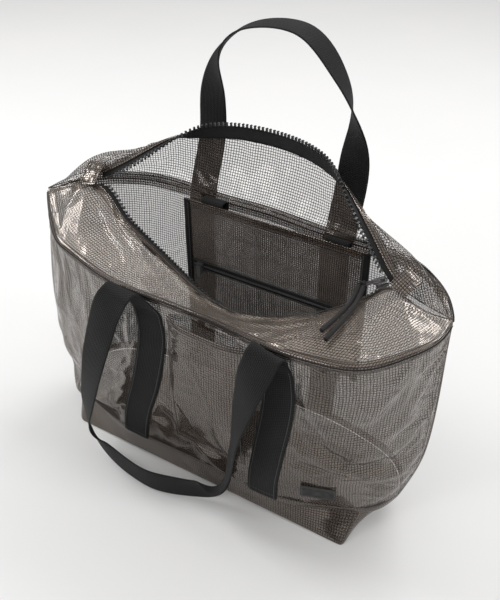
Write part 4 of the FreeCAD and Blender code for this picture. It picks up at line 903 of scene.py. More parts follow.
# the rest of the yokes' top edges, out to the wings, is one turned and stitched edge
for nm, net, a, b in (("wing_edge_front_left", front_yoke_net, 0.0, fz0), ("wing_edge_front_right", front_yoke_net, fz1, 1.0), ("wing_edge_back_right", back_yoke_net, 0.0, bz0), ("wing_edge_back_left", back_yoke_net, bz1, 1.0)):
    s = S(a, b, 70)
    p = net.at(s, np.ones(len(s)))
    t1 = tube(nm, p, 0.8, FILM_DOUBLE, sides=8)
    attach(t1, "bag")
    n1 = net.normal(s, np.full(len(s), 0.93))
    stitches(nm + "_stitches", [(net.at(s, np.full(len(s), 0.93)) + n1 * 0.35, n1)], "bag", 3.0, 2.2, 0.3)

# =============================================================== zip tapes and teeth
TT, TI, TO = 0.9, 9.0, 6.0


def edge_frames(net, s):
    one = np.ones(len(s))
    p = net.at(s, one)
    run = unit(p - net.at(s, one * 0.93))
    nn = net.normal(s, one)
    zax = unit(nn - run * (nn * run).sum(-1, keepdims=True))
    return p, run, nn, zax


def tape(name, net, s0, s1, node):
    s = S(s0, s1, 300)
    p, run, nn, zax = edge_frames(net, s)
    high = np.linalg.norm(p - net.at(s, np.full(len(s), 0.9)), axis=-1) / 0.1
    cols = []
    for k in (-TI, -TI * 0.7, -TI * 0.4, -TI * 0.1, 0.8, 2.5, 4.3, TO):
        off = -SKIN - 0.35 - TT / 2
        if k < 0:
            vk = 1 + k / high
            cols.append(net.at(s, vk) + net.normal(s, vk) * off)
        else:
            cols.append(p + run * k + nn * off)
    M = np.array(cols).transpose(1, 0, 2)
    Nn = normals_of(M)
    ob = strip_closed(name, M, Nn, TT, TAPE, edge=0.5)
    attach(ob, "bag")
    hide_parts(node)


tape("front_zip_tape_woven", front_yoke_net, fz0, fz1, "front_zip_tape")
tape("back_zip_tape_woven", back_yoke_net, bz0, bz1, "back_zip_tape")

# one tooth: a clamped foot over the tape's edge, a narrower neck, and a rounded head
TOOTH = [(-1.35, 0.0), (-1.35, 1.1), (-0.85, 1.7), (-0.85, 2.3), (-1.25, 2.9), (-1.35, 3.5), (-1.1, 4.1), (-0.55, 4.4), (0.55, 4.4), (1.1, 4.1), (1.35, 3.5), (1.25, 2.9), (0.85, 2.3), (0.85, 1.7), (1.35, 1.1), (1.35, 0.0)]


def teeth(name, net, s0, s1, node):
    s = S(s0, s1, 1200)
    p, run, nn, zax = edge_frames(net, s)
    d = run_lengths(p[:, None], 0)[:, 0]
    count = int(d[-1] // 5.0)
    V, F = [], []
    prof = np.array(TOOTH)
    k = len(prof)
    cen = np.array((0.0, 2.2))
    layers = [(-1.6, 0.86), (-1.45, 0.97), (-1.1, 1.0), (1.1, 1.0), (1.45, 0.97), (1.6, 0.86)]
    for c in range(count):
        want = (c + 0.5) * d[-1] / count
        i = min(int(np.searchsorted(d, want)), len(s) - 1)
        z = zax[i]
        y = run[i]
        x = np.cross(y, z)
        centre = p[i] + y * (TO + 0.25) - z * (SKIN + 0.3 + TT / 2)
        start = len(V) * k
        for h, g in layers:
            q = cen + (prof - cen) * g
            V.append(centre + np.outer(q[:, 0], x) + np.outer(q[:, 1], y) + z * h)
        for f in grid_faces(len(layers), k, loop_u=True, start=start):
            F.append(list(f))
        F.append([start + j for j in range(k)][::-1])
        F.append([start + (len(layers) - 1) * k + j for j in range(k)])
    ob = make(name, np.concatenate(V) * 0.001, F, TEETH, None, smooth=False)
    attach(ob, "bag")
    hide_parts(node)
    # the cord in the tape's edge that the teeth are moulded round
    e = p + run * (TO - 0.2) - zax * (SKIN + 0.3 + TT / 2)
    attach(tube(name + "_bead", e[::4], 0.85, TAPE, sides=6), "bag")


teeth("front_zip_teeth_moulded", front_yoke_net, fz0 + 0.008, fz1 - 0.02, "front_zip_teeth")
teeth("back_zip_teeth_moulded", back_yoke_net, bz0 + 0.028, bz1 - 0.008, "back_zip_teeth")


# =============================================================== end tabs
def tab(name, corners, rise, node, seed):
    a, b, c, d = [np.array(q, float) for q in corners]
    nn = unit(np.cross(b - a, d - a))
    if nn[2] < 0:
        nn = -nn
    f, g = np.meshgrid(S(0, 1, 26), S(0, 1, 34), indexing="ij")
    f3, g3 = f[..., None], g[..., None]
    P = a * (1 - f3) * (1 - g3) + b * f3 * (1 - g3) + c * f3 * g3 + d * (1 - f3) * g3
    bow = rise * (1 - (2 * g - 1) ** 2) * (0.4 + 0.6 * f) + 0.6
    ripple = 0.35 * waves(f * 23, g * 37, seed, 0.5) * smoothstep(np.minimum(f, 1 - f) * 8) * smoothstep(np.minimum(g, 1 - g) * 8)
    # a stitched channel along the four sides
    rim = np.minimum(np.minimum(f, 1 - f) * 23, np.minimum(g, 1 - g) * 37)
    bow = bow + ripple - 0.35 * np.exp(-((rim - 3.0) / 0.9) ** 2)
    M = P + nn * bow[..., None]
    ob = strip_closed(name, M, normals_of(M) * (1 if (normals_of(M)[10, 10] @ nn) > 0 else -1), 1.15, FILM_DOUBLE, edge=0.5)
    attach(ob, "bag")
    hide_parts(node)
    nm = normals_of(M) * (1 if (normals_of(M)[10, 10] @ nn) > 0 else -1)
    up = M + nm * 0.62
    i0, i1, j0, j1 = 3, 22, 3, 30
    loop = np.concatenate([up[i0:i1, j0], up[i1, j0:j1], up[i1:i0:-1, j1], up[i0, j1:j0:-1]])
    ln = np.concatenate([nm[i0:i1, j0], nm[i1, j0:j1], nm[i1:i0:-1, j1], nm[i0, j1:j0:-1]])
    stitches(name + "_stitches", [(loop, ln)], "bag", 2.8, 2.1, 0.33)


tab("left_end_tab_film", TAB_L, 3.0, "left_end_tab", 5)
tab("right_end_tab_film", TAB_R, 3.0, "right_end_tab", 6)


# =============================================================== straps
SW, STH = 38.0, 2.2


def leg_ctrl(net, path, n, tongue=(), lift0=0.6, th=1.8, across=25):
    xs, zs = [p[0] for p in path], [p[1] for p in path]
    kk = S(0, len(path) - 1, n)
    x, z = spline(np.array(xs, float), kk), spline(np.array(zs, float), kk)
    off = S(-0.5, 0.5, across) * SW
    gx, gz = x[:, None] + off[None], np.repeat(z[:, None], across, 1)
    s, v = net.find(gx.ravel(), gz.ravel())
    M = (net.at(s, v) + net.normal(s, v) * (lift0 + th / 2)).reshape(n, across, 3)
    # a sewn strap bridges the small dips of the cloth
    fit = np.stack([np.polynomial.polynomial.polyval(off / SW, np.polynomial.polynomial.polyfit(off / SW, M[i], 2)).T for i in range(n)])
    M = M * 0.3 + fit * 0.7
    tg = [np.stack([np.array((t[0] + o, t[1], t[2]), float) for o in off]) for t in tongue]
    return np.concatenate([M, np.array(tg)]) if tg else M


def loop_ctrl(stations, across=25):
    C = np.array([s[0] for s in stations], float)
    W = np.array([s[1] for s in stations], float)
    T = unit(np.gradient(C, axis=0))
    W = unit(W - T * (W * T).sum(-1, keepdims=True))
    off = S(-0.5, 0.5, across) * SW
    return C[:, None] + W[:, None] * off[None, :, None]


def through(ctrl, step):
    mid = ctrl[:, ctrl.shape[1] // 2]
    d = np.concatenate([[0], np.cumsum(np.linalg.norm(np.diff(mid, axis=0), axis=1))])
    n = int(d[-1] / step)
    q = S(0, d[-1], n)
    return spline(ctrl, q, d), q, d


def hz(deg):
    return (math.cos(math.radians(deg)), math.sin(math.radians(deg)), 0.0)


FRONT_LOOP = [
    ((-67.0, -96.5, 286.6), (1, 0, 0)), ((-67.8, -102, 286.8), (1, 0, 0)), ((-72.2, -108.5, 279), (1, 0, 0)), ((-80, -112.5, 264), (1, 0, 0)), ((-87, -115, 245), hz(-3)), ((-97, -118, 212), hz(-8)),
    ((-107, -120, 176), hz(-15)), ((-119, -120, 136), hz(-24)), ((-129, -118, 100), hz(-33)), ((-135, -114, 70), (0.70, -0.62, 0.22)),
    ((-134, -110, 45), (0.52, -0.48, 0.62)), ((-122, -109, 27), (0.25, -0.28, 0.92)), ((-100, -112, 20), (0.08, -0.14, 0.99)), ((-70, -117, 19.6), (0.0, -0.12, 0.99)),
    ((-40, -119, 19.6), (0, -0.12, 0.99)), ((-12, -112, 19.6), (0, -0.12, 0.99)), ((14, -101, 20), (0.05, -0.16, 0.98)), ((36, -97, 29), (0.15, -0.35, 0.9)),
    ((52, -100, 48), (0.32, -0.62, 0.66)), ((64, -106, 76), (0.45, -0.80, 0.3)), ((73, -110, 108), hz(-56)), ((80, -113, 142), hz(-54)), ((86, -116, 174), hz(-47)),
    ((92, -117, 206), hz(-34)), ((99, -118, 234), hz(-22)), ((105, -117, 254), hz(-10)), ((110, -114, 270), hz(-3)), ((113.2, -109.5, 281), (1, 0, 0)), ((115, -104, 284.4), (1, 0, 0)),
]
BACK_LOOP = [
    ((-96, 101.5, 299), (1, 0, 0)), ((-97, 108, 316), (1, 0, 0)), ((-98, 118, 336), (1, 0, 0)), ((-99, 128, 358), (1, 0, 0)), ((-100, 134, 384), (1, 0, 0)), ((-100, 136, 412), hz(-4)),
    ((-97, 136, 438), hz(-22)), ((-92, 136, 461), hz(-48)), ((-81, 136, 481), hz(-72)), ((-62, 136, 498), hz(-86)), ((-35, 136, 509.5), hz(-90)), ((-5, 136, 514.5), hz(-90)),
    ((21, 136, 510.5), hz(-90)), ((44, 136, 494), hz(-90)), ((61, 136, 474), hz(-84)), ((73, 136, 455), hz(-74)), ((81, 136, 434), hz(-60)), ((86, 136, 411), hz(-38)),
    ((89, 134, 387), hz(-14)), ((91, 128, 360), (1, 0, 0)), ((92, 118, 336), (1, 0, 0)), ((93, 107, 315), (1, 0, 0)), ((93, 99.5, 299), (1, 0, 0)),
]


def strap_piece(name, M, th, body, mat=WEB, slot="webbing"):
    ob = strip_closed(name, M, normals_of(M), th, mat, ribs=0.10, rib_pitch=2.1, edge=0.45)
    return ob


# front handle: leg, fold, free loop, fold, leg, as one run of webbing cut only where the bodies part
left = leg_ctrl(front_net, F_LEG_L, 14, [(-51, -87.3, 266.5), (-56, -89.8, 273), (-59.5, -91.8, 277.0), (-61.5, -92.9, 280.0)])
right = leg_ctrl(front_net, F_LEG_R, 14, [(119.5, -98.4, 265.5), (117, -100.0, 272), (115, -101.3, 279)])
lp = loop_ctrl(FRONT_LOOP)
ctrl = np.concatenate([left, lp, right[::-1]])
M, q, d = through(ctrl, 2.6)
Nn = normals_of(M)
# a free strap cups slightly and is not dead flat
d_left = d[len(left) - 1]
d_right = d[len(left) + len(lp)]
free = smoothstep((q - d_left) / 30) * smoothstep((d_right - q) / 30)
across = S(-1, 1, M.shape[1])
M = M + Nn * ((0.9 * np.sin(q / 41.0) + 0.6 * np.sin(q / 17.0 + 1))[:, None] * free[:, None] * (across**2)[None] * 1.0)[..., None]
cut = [0, int(np.searchsorted(q, d[len(left) - 4])), int(np.searchsorted(q, d[len(left) + 3])), int(np.searchsorted(q, d[len(left) + len(lp) - 4])), int(np.searchsorted(q, d[len(left) + len(lp) + 2])), len(q) - 1]
names = ["front_handle_leg_left_web", "front_handle_fold_left_web", "front_handle_loop_web", "front_handle_fold_right_web", "front_handle_leg_right_web"]


def ribbed(name, M, N, q0, th, ends=(True, True)):
    n, w = M.shape[:2]
    u = S(-0.5, 0.5, w)[None] * SW * np.ones((n, 1))
    half = SW / 2
    ro = np.sqrt(np.clip(1 - np.clip((np.abs(u) - (half - 1.1)) / 1.1, 0, 1) ** 2, 0.08, 1))
    hgt = th / 2 * ro
    topv, botv = M + N * hgt[..., None], M - N * hgt[..., None]
    ring = np.concatenate([topv, botv[:, ::-1]], 1)
    k = ring.shape[1]
    ru = np.concatenate([u, u[:, ::-1]], 1)
    rv = np.repeat(q0[:, None], k, 1)
    faces = [list(f) for f in grid_faces(n, k, loop_u=True)]
    for i in range(w - 1):
        if ends[0]:
            faces.append([i, k - 1 - i, k - 2 - i, i + 1])
        if ends[1]:
            o = (n - 1) * k
            faces.append([o + i, o + i + 1, o + k - 2 - i, o + k - 1 - i])
    return make(name, ring.reshape(-1, 3) * 0.001, faces, WEB, (np.stack([ru, rv], -1) * 0.001).reshape(-1, 2))


pieces_f = []
for i in range(5):
    a, b = cut[i], cut[i + 1] + 1
    th = 1.8 if i in (0, 4) else 2.2
    # every length is built the same thickness, so that neighbouring lengths meet
    ob = ribbed(names[i], M[a:b], Nn[a:b], q[a:b], 2.0, (i == 0, i == 4))
    pieces_f.append(ob)
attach(pieces_f[0], "bag")
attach(pieces_f[2], "front_handle")
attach(pieces_f[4], "bag")
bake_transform(pieces_f[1])
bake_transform(pieces_f[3])
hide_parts("front_handle_left_leg")
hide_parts("front_handle_right_leg")
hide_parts("front_handle_loop")

# back handle: one run, bending at the rim
bl = leg_ctrl(back_net, [(-94, z) for z in (37.5, 100, 165, 230, 290)], 12)
br = leg_ctrl(back_net, [(93, z) for z in (37.5, 100, 165, 230, 290)], 12)
bp = loop_ctrl(BACK_LOOP)
ctrl = np.concatenate([bl, bp, br[::-1]])
Mb, qb, db = through(ctrl, 2.6)
Nb = normals_of(Mb)
free = smoothstep((qb - db[len(bl)]) / 40) * smoothstep((db[len(bl) + len(bp) - 1] - qb) / 40)
Mb = Mb + Nb * ((0.8 * np.sin(qb / 37.0 + 2) + 0.5 * np.sin(qb / 15.0))[:, None] * free[:, None] * (across**2)[None])[..., None]
bh = ribbed("back_handle_web", Mb, Nb, qb, 2.0)
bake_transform(bh)
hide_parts("back_handle_left_leg", "back_handle_right_leg", "back_handle_loop")

# strap stitching: two rows near each edge of the sewn legs and a cross bar at the foot
rows = []


def leg_rows(Mx, Nx, side):
    out = []
    w = Mx.shape[1]
    for j in (2, w - 3):
        out.append((Mx[:, j] + Nx[:, j] * side * 1.15, Nx[:, j] * side))
    k = 3
    out.append((Mx[k, 2:-2] + Nx[k, 2:-2] * side * 1.15, Nx[k, 2:-2] * side))
    return out


a, b = cut[0], cut[1]
side = 1.0 if Nn[5, 12, 1] < 0 else -1.0
rows += leg_rows(M[a:b], Nn[a:b], side)
a, b = cut[4], cut[5]
side = 1.0 if Nn[-5, 12, 1] < 0 else -1.0
rows += leg_rows(M[a:b][::-1], Nn[a:b][::-1], side)
nbl = int(np.searchsorted(qb, db[len(bl) - 1]))
side = 1.0 if Nb[5, 12, 1] > 0 else -1.0
rows += leg_rows(Mb[:nbl], Nb[:nbl], side)
nbr = int(np.searchsorted(qb, db[len(bl) + len(bp)]))
side = 1.0 if Nb[-5, 12, 1] > 0 else -1.0
rows += leg_rows(Mb[nbr:][::-1], Nb[nbr:][::-1], side)
stitches("strap_stitches", rows, "bag", 3.4, 2.6, 0.32)

# =============================================================== slip pocket
SLIP_X = [-20, 0, 20, 40, 60, 78]
SLIP_Z = [80, 130, 180, 225, 262]
GAPE = [0.6, 3.5, 7.0, 9.0, 9.5]
rows = []
for z, gape in zip(SLIP_Z, GAPE):
    row = []
    for i, x in enumerate(SLIP_X):
        s, v = front_net.find(x, z)
        e = [0.06, 0.8, 1.0, 1.0, 0.8, 0.06][i]
        p = (front_net.at(s, v) + front_net.normal(s, v) * (0.5 + gape * e))[0]
        row.append(tuple(p))
    rows.append(row)
slip_net = Net(rows)
P = slip_net.grid(S(0, 1, 70), S(0, 1, 100))
nn = normals_of(P)
P0 = P + nn * 0.8
mk = edge_mask(100, 70, P, 9, 9, 12, 8)
hem = smoothstep((P[..., 2] - 248) / 2.5)
Pw = P0 + nn * (mk * (1.1 * waves(P[..., 0], P[..., 2], 203, 0.05) + 1.5 * (creases(P[..., 0], P[..., 2], 207, 0.04) - 0.2)).clip(-1.5, 2.0))[..., None]
ob = sheet_mesh("slip_pocket_film", Pw, FILM, sheet_uv(P))
declare(ob, "bag", ["front_slip_pocket"])
# folded hem
sv = S(0, 1, 90)
ctrl = np.array([
    lift(slip_net, sv, 0.945, 1.15), lift(slip_net, sv, 0.965, 1.35), lift(slip_net, sv, 0.99, 1.35), lift(slip_net, sv, 1.0, 1.1),
    lift(slip_net, sv, 1.0, 0.5), lift(slip_net, sv, 0.985, 0.15), lift(slip_net, sv, 0.94, 0.1)])
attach(sheet_mesh("slip_pocket_hem", spline(ctrl, S(0, 6, 20)), FILM_DOUBLE), "bag")
n1 = slip_net.normal(sv, np.full(len(sv), 0.955))
stitches("slip_pocket_stitches", [(lift(slip_net, sv, 0.952, 1.55), n1), (lift(slip_net, sv, 0.975, 1.7), n1)], "bag", 2.8, 2.1, 0.32)
rows = []
for s in (0.035, 0.965):
    v = S(0.02, 0.95, 90)
    sx = np.full(len(v), s)
    rows.append((slip_net.at(sx, v) + slip_net.normal(sx, v) * 1.1, slip_net.normal(sx, v)))
sx = S(0.035, 0.965, 50)
rows.append((lift(slip_net, sx, 0.03, 1.1), slip_net.normal(sx, np.full(len(sx), 0.03))))
stitches("slip_pocket_side_stitches", rows, "bag", 3.1, 2.3, 0.3)

# =============================================================== patch
gx, gz = np.meshgrid(S(-20.5, 20.5, 83), S(-13, 13, 79))
rc = 2.2
cx, cz = np.sign(gx) * np.maximum(np.abs(gx) - (20.5 - rc), 0), np.sign(gz) * np.maximum(np.abs(gz) - (13 - rc), 0)
rr = np.hypot(cx, cz)
both = (np.abs(gx) > 20.5 - rc) & (np.abs(gz) > 13 - rc)
mx = np.maximum(np.abs(cx), np.abs(cz))
fac = np.where(both & (rr > 0), mx / np.maximum(rr, 1e-9), 1.0)
gx2 = np.where(both, np.sign(gx) * (20.5 - rc) + cx * fac, gx)
gz2 = np.where(both, np.sign(gz) * (13 - rc) + cz * fac, gz)
s0, v0 = front_net.find(167, 80)
c0 = front_net.at(s0, v0)[0]
n0 = front_net.normal(s0, v0)[0]
rdir = unit(front_net.at(s0 + 0.01, v0)[0] - front_net.at(s0 - 0.01, v0)[0])
udir = unit(np.cross(n0, rdir))
if udir[2] < 0:
    udir = -udir
pc = c0 + n0 * (0.65 + 1.0)
rim = np.minimum(20.5 - np.abs(gx), 13 - np.abs(gz))
inside = smoothstep((rim - 3.0) / 0.8)
relief = inside * 0.22 * (np.cos(gz * 2 * math.pi / 1.35) * 0.5 + 0.5) - 0.25 * np.exp(-((rim - 2.2) / 0.45) ** 2)
edge = 0.55 * (1 - np.sqrt(np.clip(1 - (1 - np.clip(rim / 0.9, 0, 1)) ** 2, 0, 1)))
topz = 0.55 + relief - edge
F3 = pc + gx2[..., None] * rdir + gz2[..., None] * udir + topz[..., None] * n0
B3 = pc + gx2[..., None] * rdir + gz2[..., None] * udir - 0.65 * n0
nr, ncol = gx.shape
faces = [list(f) for f in grid_faces(nr, ncol)]
off = nr * ncol
faces += [[x + off for x in f][::-1] for f in faces]
border = list(range(ncol)) + [i * ncol + ncol - 1 for i in range(1, nr)] + [(nr - 1) * ncol + j for j in range(ncol - 2, -1, -1)] + [i * ncol for i in range(nr - 2, 0, -1)]
for i in range(len(border)):
    a, b = border[i], border[(i + 1) % len(border)]
    faces.append([b, a, a + off, b + off])
patch = make("label_patch_ribbed", np.concatenate([F3.reshape(-1, 3), B3.reshape(-1, 3)]) * 0.001, faces, PATCH)
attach(patch, "bag")
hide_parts("label_patch")
px0, pz0 = 18.4, 10.9
lin = [(-px0, -pz0), (px0, -pz0), (px0, pz0), (-px0, pz0), (-px0, -pz0)]
pts = []
for (xa, za), (xb, zb) in zip(lin, lin[1:]):
    for k in S(0, 1, 30):
        pts.append(pc + (xa + (xb - xa) * k) * rdir + (za + (zb - za) * k) * udir + n0 * 0.42)
stitches("patch_stitches", [(np.array(pts), np.repeat(n0[None], len(pts), 0))], "bag", 2.4, 1.8, 0.26)

# =============================================================== slider and puller metal
for node, mt in (("main_slider", METAL), ("main_puller", METAL), ("pocket_slider", BLACKMETAL), ("pocket_puller", BLACKMETAL)):
    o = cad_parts[node]
    o.data.materials.clear()
    o.data.materials.append(mt)
    bv = o.modifiers.new("soft_edges", "BEVEL")
    bv.width = 0.00028
    bv.segments = 3
    bv.limit_method = "ANGLE"
    bv.angle_limit = math.radians(35)
    bv.harden_normals = False

# =============================================================== lace
KN = np.array((155.86, 23.35, 301.92))
TAIL_L = [(KN[0] - 2.6, KN[1] - 4.2, KN[2] - 0.6), (155.6, 5.0, 297.2), (156.2, -13.5, 296.1), (155.9, -32.0, 298.3), (154.9, -49.0, 299.1), (152.0, -64.5, 298.3)]
TAIL_R = [(KN[0] + 2.7, KN[1] - 4.2, KN[2] - 0.6), (161.4, 3.5, 298.7), (163.4, -16.0, 299.2), (164.2, -36.0, 301.0), (164.4, -56.5, 301.6), (162.0, -76.0, 299.6)]


def nurbs_line(points):
    cd = bpy.data.curves.new("route", "CURVE")
    cd.dimensions = "3D"
    sp = cd.splines.new("NURBS")
    sp.points.add(len(points) - 1)
    for pt, p in zip(sp.points, points):
        pt.co = (p[0] * 0.001, p[1] * 0.001, p[2] * 0.001, 1.0)
    sp.order_u = 3
    sp.use_endpoint_u = True
    sp.resolution_u = 24
    ob = bpy.data.objects.new("route", cd)
    me = bpy.data.meshes.new_from_object(ob)
    line = np.array([v.co for v in me.vertices], float)
    bpy.data.meshes.remove(me)
    bpy.data.objects.remove(ob)
    bpy.data.curves.remove(cd)
    return line


def braid(s, th):
    """Herringbone of flat strands round a lace."""
    a = np.sin(th[None] * 4 + s[:, None] * 2 * math.pi / 5.2)
    b = np.sin(th[None] * 4 - s[:, None] * 2 * math.pi / 5.2)
    return 0.93 + 0.07 * np.maximum(np.abs(a), np.abs(b)) ** 0.5


# knot: an overhand turn of the same lace, packed tight
t = S(0, 2 * math.pi, 150)[:-1]
tre = np.stack([np.sin(t) + 2 * np.sin(2 * t), np.cos(t) - 2 * np.cos(2 * t), -1.25 * np.sin(3 * t)], -1)
tre = tre / 3.25 * 3.1
kp = KN + tre[:, [0, 2, 1]] * np.array((1.0, 0.95, 1.0))
T = unit(np.roll(kp, -1, 0) - np.roll(kp, 1, 0))
ref = unit(kp - KN)
A = unit(ref - T * (ref * T).sum(-1, keepdims=True))
B = np.cross(T, A)
th = np.arange(14) * 2 * math.pi / 14
ring = kp[:, None] + 1.55 * (A[:, None] * np.cos(th)[None, :, None] + B[:, None] * np.sin(th)[None, :, None])
kd = np.linalg.norm(ring - KN, axis=-1, keepdims=True)
ring = KN + (ring - KN) * np.minimum(1.0, 4.7 / kd)
uvk = np.stack([np.repeat((th * 1.5)[None], len(kp), 0), np.repeat(np.arange(len(kp))[:, None] * 0.25, 14, 1)], -1) * 0.001
knot = make("lace_knot_tied", ring.reshape(-1, 3) * 0.001, grid_faces(len(kp), 14, loop_u=True, loop_v=True), LACE, uvk.reshape(-1, 2))
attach(knot, "main_puller")
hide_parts("lace_knot")
for nm, pts, node in (("lace_tail_left_cord", TAIL_L, "lace_tail_left"), ("lace_tail_right_cord", TAIL_R, "lace_tail_right")):
    line = nurbs_line(pts)
    ln = run_lengths(line[:, None] * 1000, 0)[:, 0]
    q = S(0, ln[-1], int(ln[-1] / 0.45))
    fine = np.stack([np.interp(q, ln, line[:, a] * 1000) for a in range(3)], -1)
    rad = np.full(len(fine), 2.5)
    ob = tube(nm, fine, rad, LACE, sides=28, shape=braid)
    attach(ob, "main_puller")
    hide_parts(node)

# =============================================================== hanging pocket
PX0, PWD, PTOP, PDEEP, PY, PSH, PG, BWD, PZ = -107.0, 249.0, 304.0, 184.0, 76.0, 0.8, 0.5, 9.0, 214.0


def pocket_wave(x, z):
    e = smoothstep(np.minimum(x - (PX0 + 8), PX0 + PWD - 8 - x) / 22)
    top_e = 0.35 + 0.65 * smoothstep((PTOP - z) / 18)
    zip_e = 0.25 + 0.75 * smoothstep((np.abs(z - PZ) - 9) / 14)
    return e * top_e * zip_e * (0.9 * waves(x, z, 301, 0.028) + 0.9 * (creases(x, z, 305, 0.03) - 0.2))


def flat_sheet(name, x0, x1, z0, z1, y, mat, node):
    nx, nz = int((x1 - x0) / 2.4), int((z1 - z0) / 2.4)
    x, z = np.meshgrid(S(x0, x1, nx), S(z0, z1, nz))
    P = np.stack([x, y + pocket_wave(x, z), z], -1)
    F = np.stack([x, np.full_like(x, y), z], -1)
    ob = sheet_mesh(name, P, mat, sheet_uv(F))
    declare(ob, "hanging_pocket", [node])
    return ob


flat_sheet("pocket_back_film", PX0 + 2.4, PX0 + PWD - 2.4, PTOP - PDEEP, PTOP, PY + 0.65, FILM_POCKET, "pocket_back_sheet")
flat_sheet("pocket_front_upper_film", PX0 + 2.4, PX0 + PWD - 2.4, PZ + 3.2, PTOP, PY - 0.65, FILM_POCKET, "pocket_front_upper")
flat_sheet("pocket_front_lower_film", PX0 + 2.4, PX0 + PWD - 2.4, PTOP - PDEEP, PZ - 3.2, PY - 0.65, FILM_POCKET, "pocket_front_lower")
# top hem and bottom fold
for nm, za, zb in (("pocket_top_hem", PTOP - 9, PTOP), ("pocket_bottom_fold", PTOP - PDEEP, PTOP - PDEEP + 5)):
    x = S(PX0 + 3, PX0 + PWD - 3, 130)
    ctrl = np.array([np.stack([x, np.full_like(x, PY + yy) + pocket_wave(x, np.full_like(x, z)), np.full_like(x, z)], -1) for yy, z in
                     ((-1.15, za if nm == "pocket_top_hem" else zb), (-1.25, (za + zb) / 2), (-1.0, zb if nm == "pocket_top_hem" else za), (0.0, (zb + 0.45) if nm == "pocket_top_hem" else (za - 0.45)), (1.0, zb if nm == "pocket_top_hem" else za), (1.25, (za + zb) / 2), (1.15, za if nm == "pocket_top_hem" else zb))])
    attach(sheet_mesh(nm, spline(ctrl, S(0, 6, 22)), FILM_DOUBLE), "hanging_pocket")
x = S(PX0 + 10, PX0 + PWD - 10, 200)
ny = np.repeat(np.array([[0.0, -1.0, 0.0]]), len(x), 0)
rows = [(np.stack([x, np.full_like(x, PY - 1.5) + pocket_wave(x, np.full_like(x, z)), np.full_like(x, z)], -1), ny) for z in (PTOP - 7.2,)]
for z in (PZ + 5.4, PZ - 5.4):
    rows.append((np.stack([x, np.full_like(x, PY - 1.95), np.full_like(x, z)], -1), ny))
stitches("pocket_stitches", rows, "hanging_pocket", 2.8, 2.1, 0.28)

# bindings: ribbed tape folded round the two sides
for side, x0, sgn in (("left", PX0, 1.0), ("right", PX0 + PWD, -1.0)):
    prof = [(8.9, -2.4), (6.0, -2.42), (3.0, -2.4), (1.4, -2.2), (0.4, -1.4), (0.08, 0.0), (0.4, 1.4), (1.4, 2.2), (3.0, 2.4), (6.0, 2.42), (8.9, 2.4)]
    innr = [(8.9, 1.55), (5.0, 1.55), (2.2, 1.5), (1.3, 0.0), (2.2, -1.5), (5.0, -1.55), (8.9, -1.55)]
    zz = S(PTOP - PDEEP - 2.9, PTOP - 0.1, 380)
    rib = 0.10 * np.cos(zz * 2 * math.pi / 1.6)
    po = np.array(prof)
    pi = np.array(innr)
    ctr = np.array((3.0, 0.0))
    V = []
    for z, rb in zip(zz, rib):
        o2 = po.copy()
        o2[:, 1] += np.sign(o2[:, 1]) * rb
        sec = np.concatenate([o2, pi])
        wob = 0.25 * math.sin(z * 0.11) * 0.5
        V.append(np.stack([x0 + sgn * sec[:, 0], PY + sec[:, 1] + wob * 0, np.full(len(sec), z)], -1))
    V = np.array(V)
    k = V.shape[1]
    s_arc = np.concatenate([[0], np.cumsum(np.linalg.norm(np.diff(np.concatenate([po, pi]), axis=0), axis=1))])
    uvb = np.stack([np.repeat(s_arc[None], len(zz), 0), np.repeat(zz[:, None], k, 1)], -1) * 0.001
    faces = [list(f) for f in grid_faces(len(zz), k, loop_u=True)]
    faces += [list(range(k))[::-1], [(len(zz) - 1) * k + j for j in range(k)]]
    if sgn < 0:
        faces = [f[::-1] for f in faces]
    ob = make("pocket_%s_binding_tape" % side, V.reshape(-1, 3) * 0.001, faces, BIND, uvb.reshape(-1, 2))
    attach(ob, "hanging_pocket")
    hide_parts("pocket_%s_binding" % side)
    zs = S(PTOP - PDEEP, PTOP - 3, 120)
    xx = np.full_like(zs, x0 + sgn * 7.2)
    stitches("pocket_%s_binding_stitches" % side, [(np.stack([xx, np.full_like(zs, PY - 2.62), zs], -1), np.repeat(np.array([[0.0, -1.0, 0.0]]), len(zs), 0))], "hanging_pocket", 2.8, 2.1, 0.28)

# pocket zip: woven tape and a wound coil
tx0, tx1 = PX0 + BWD + 0.3, PX0 + PWD - BWD - 0.3
ty = PY - PG / 2 - PSH - 0.9 + 0.35
x = S(tx0, tx1, 160)
M2 = np.stack([np.stack([x, np.full_like(x, ty) + 0.0, np.full_like(x, PZ + o)], -1) for o in S(-6.5, 6.5, 14)], 1)
ob = strip_closed("pocket_zip_tape_woven", M2, normals_of(M2), 0.68, TAPE)
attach(ob, "hanging_pocket")
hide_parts("pocket_zip_tape")
coil_y = PY - PG / 2 - PSH - 0.9 - 1.5 - 0.05
cx0, cx1 = PX0 + BWD + 4, PX0 + PWD - BWD - 4
turns = (cx1 - cx0) / 1.55
tq = S(0, 1, int(turns * 12))
an = tq * turns * 2 * math.pi
hel = np.stack([cx0 + (cx1 - cx0) * tq, coil_y + 0.85 * np.cos(an), PZ + 1.05 * np.sin(an)], -1)
hel[:, 0] += 0.25 * np.sin(an)
ob = tube("pocket_zip_coil_wound", hel, 0.42, TEETH, sides=6)
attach(ob, "hanging_pocket")
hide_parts("pocket_zip_coil")

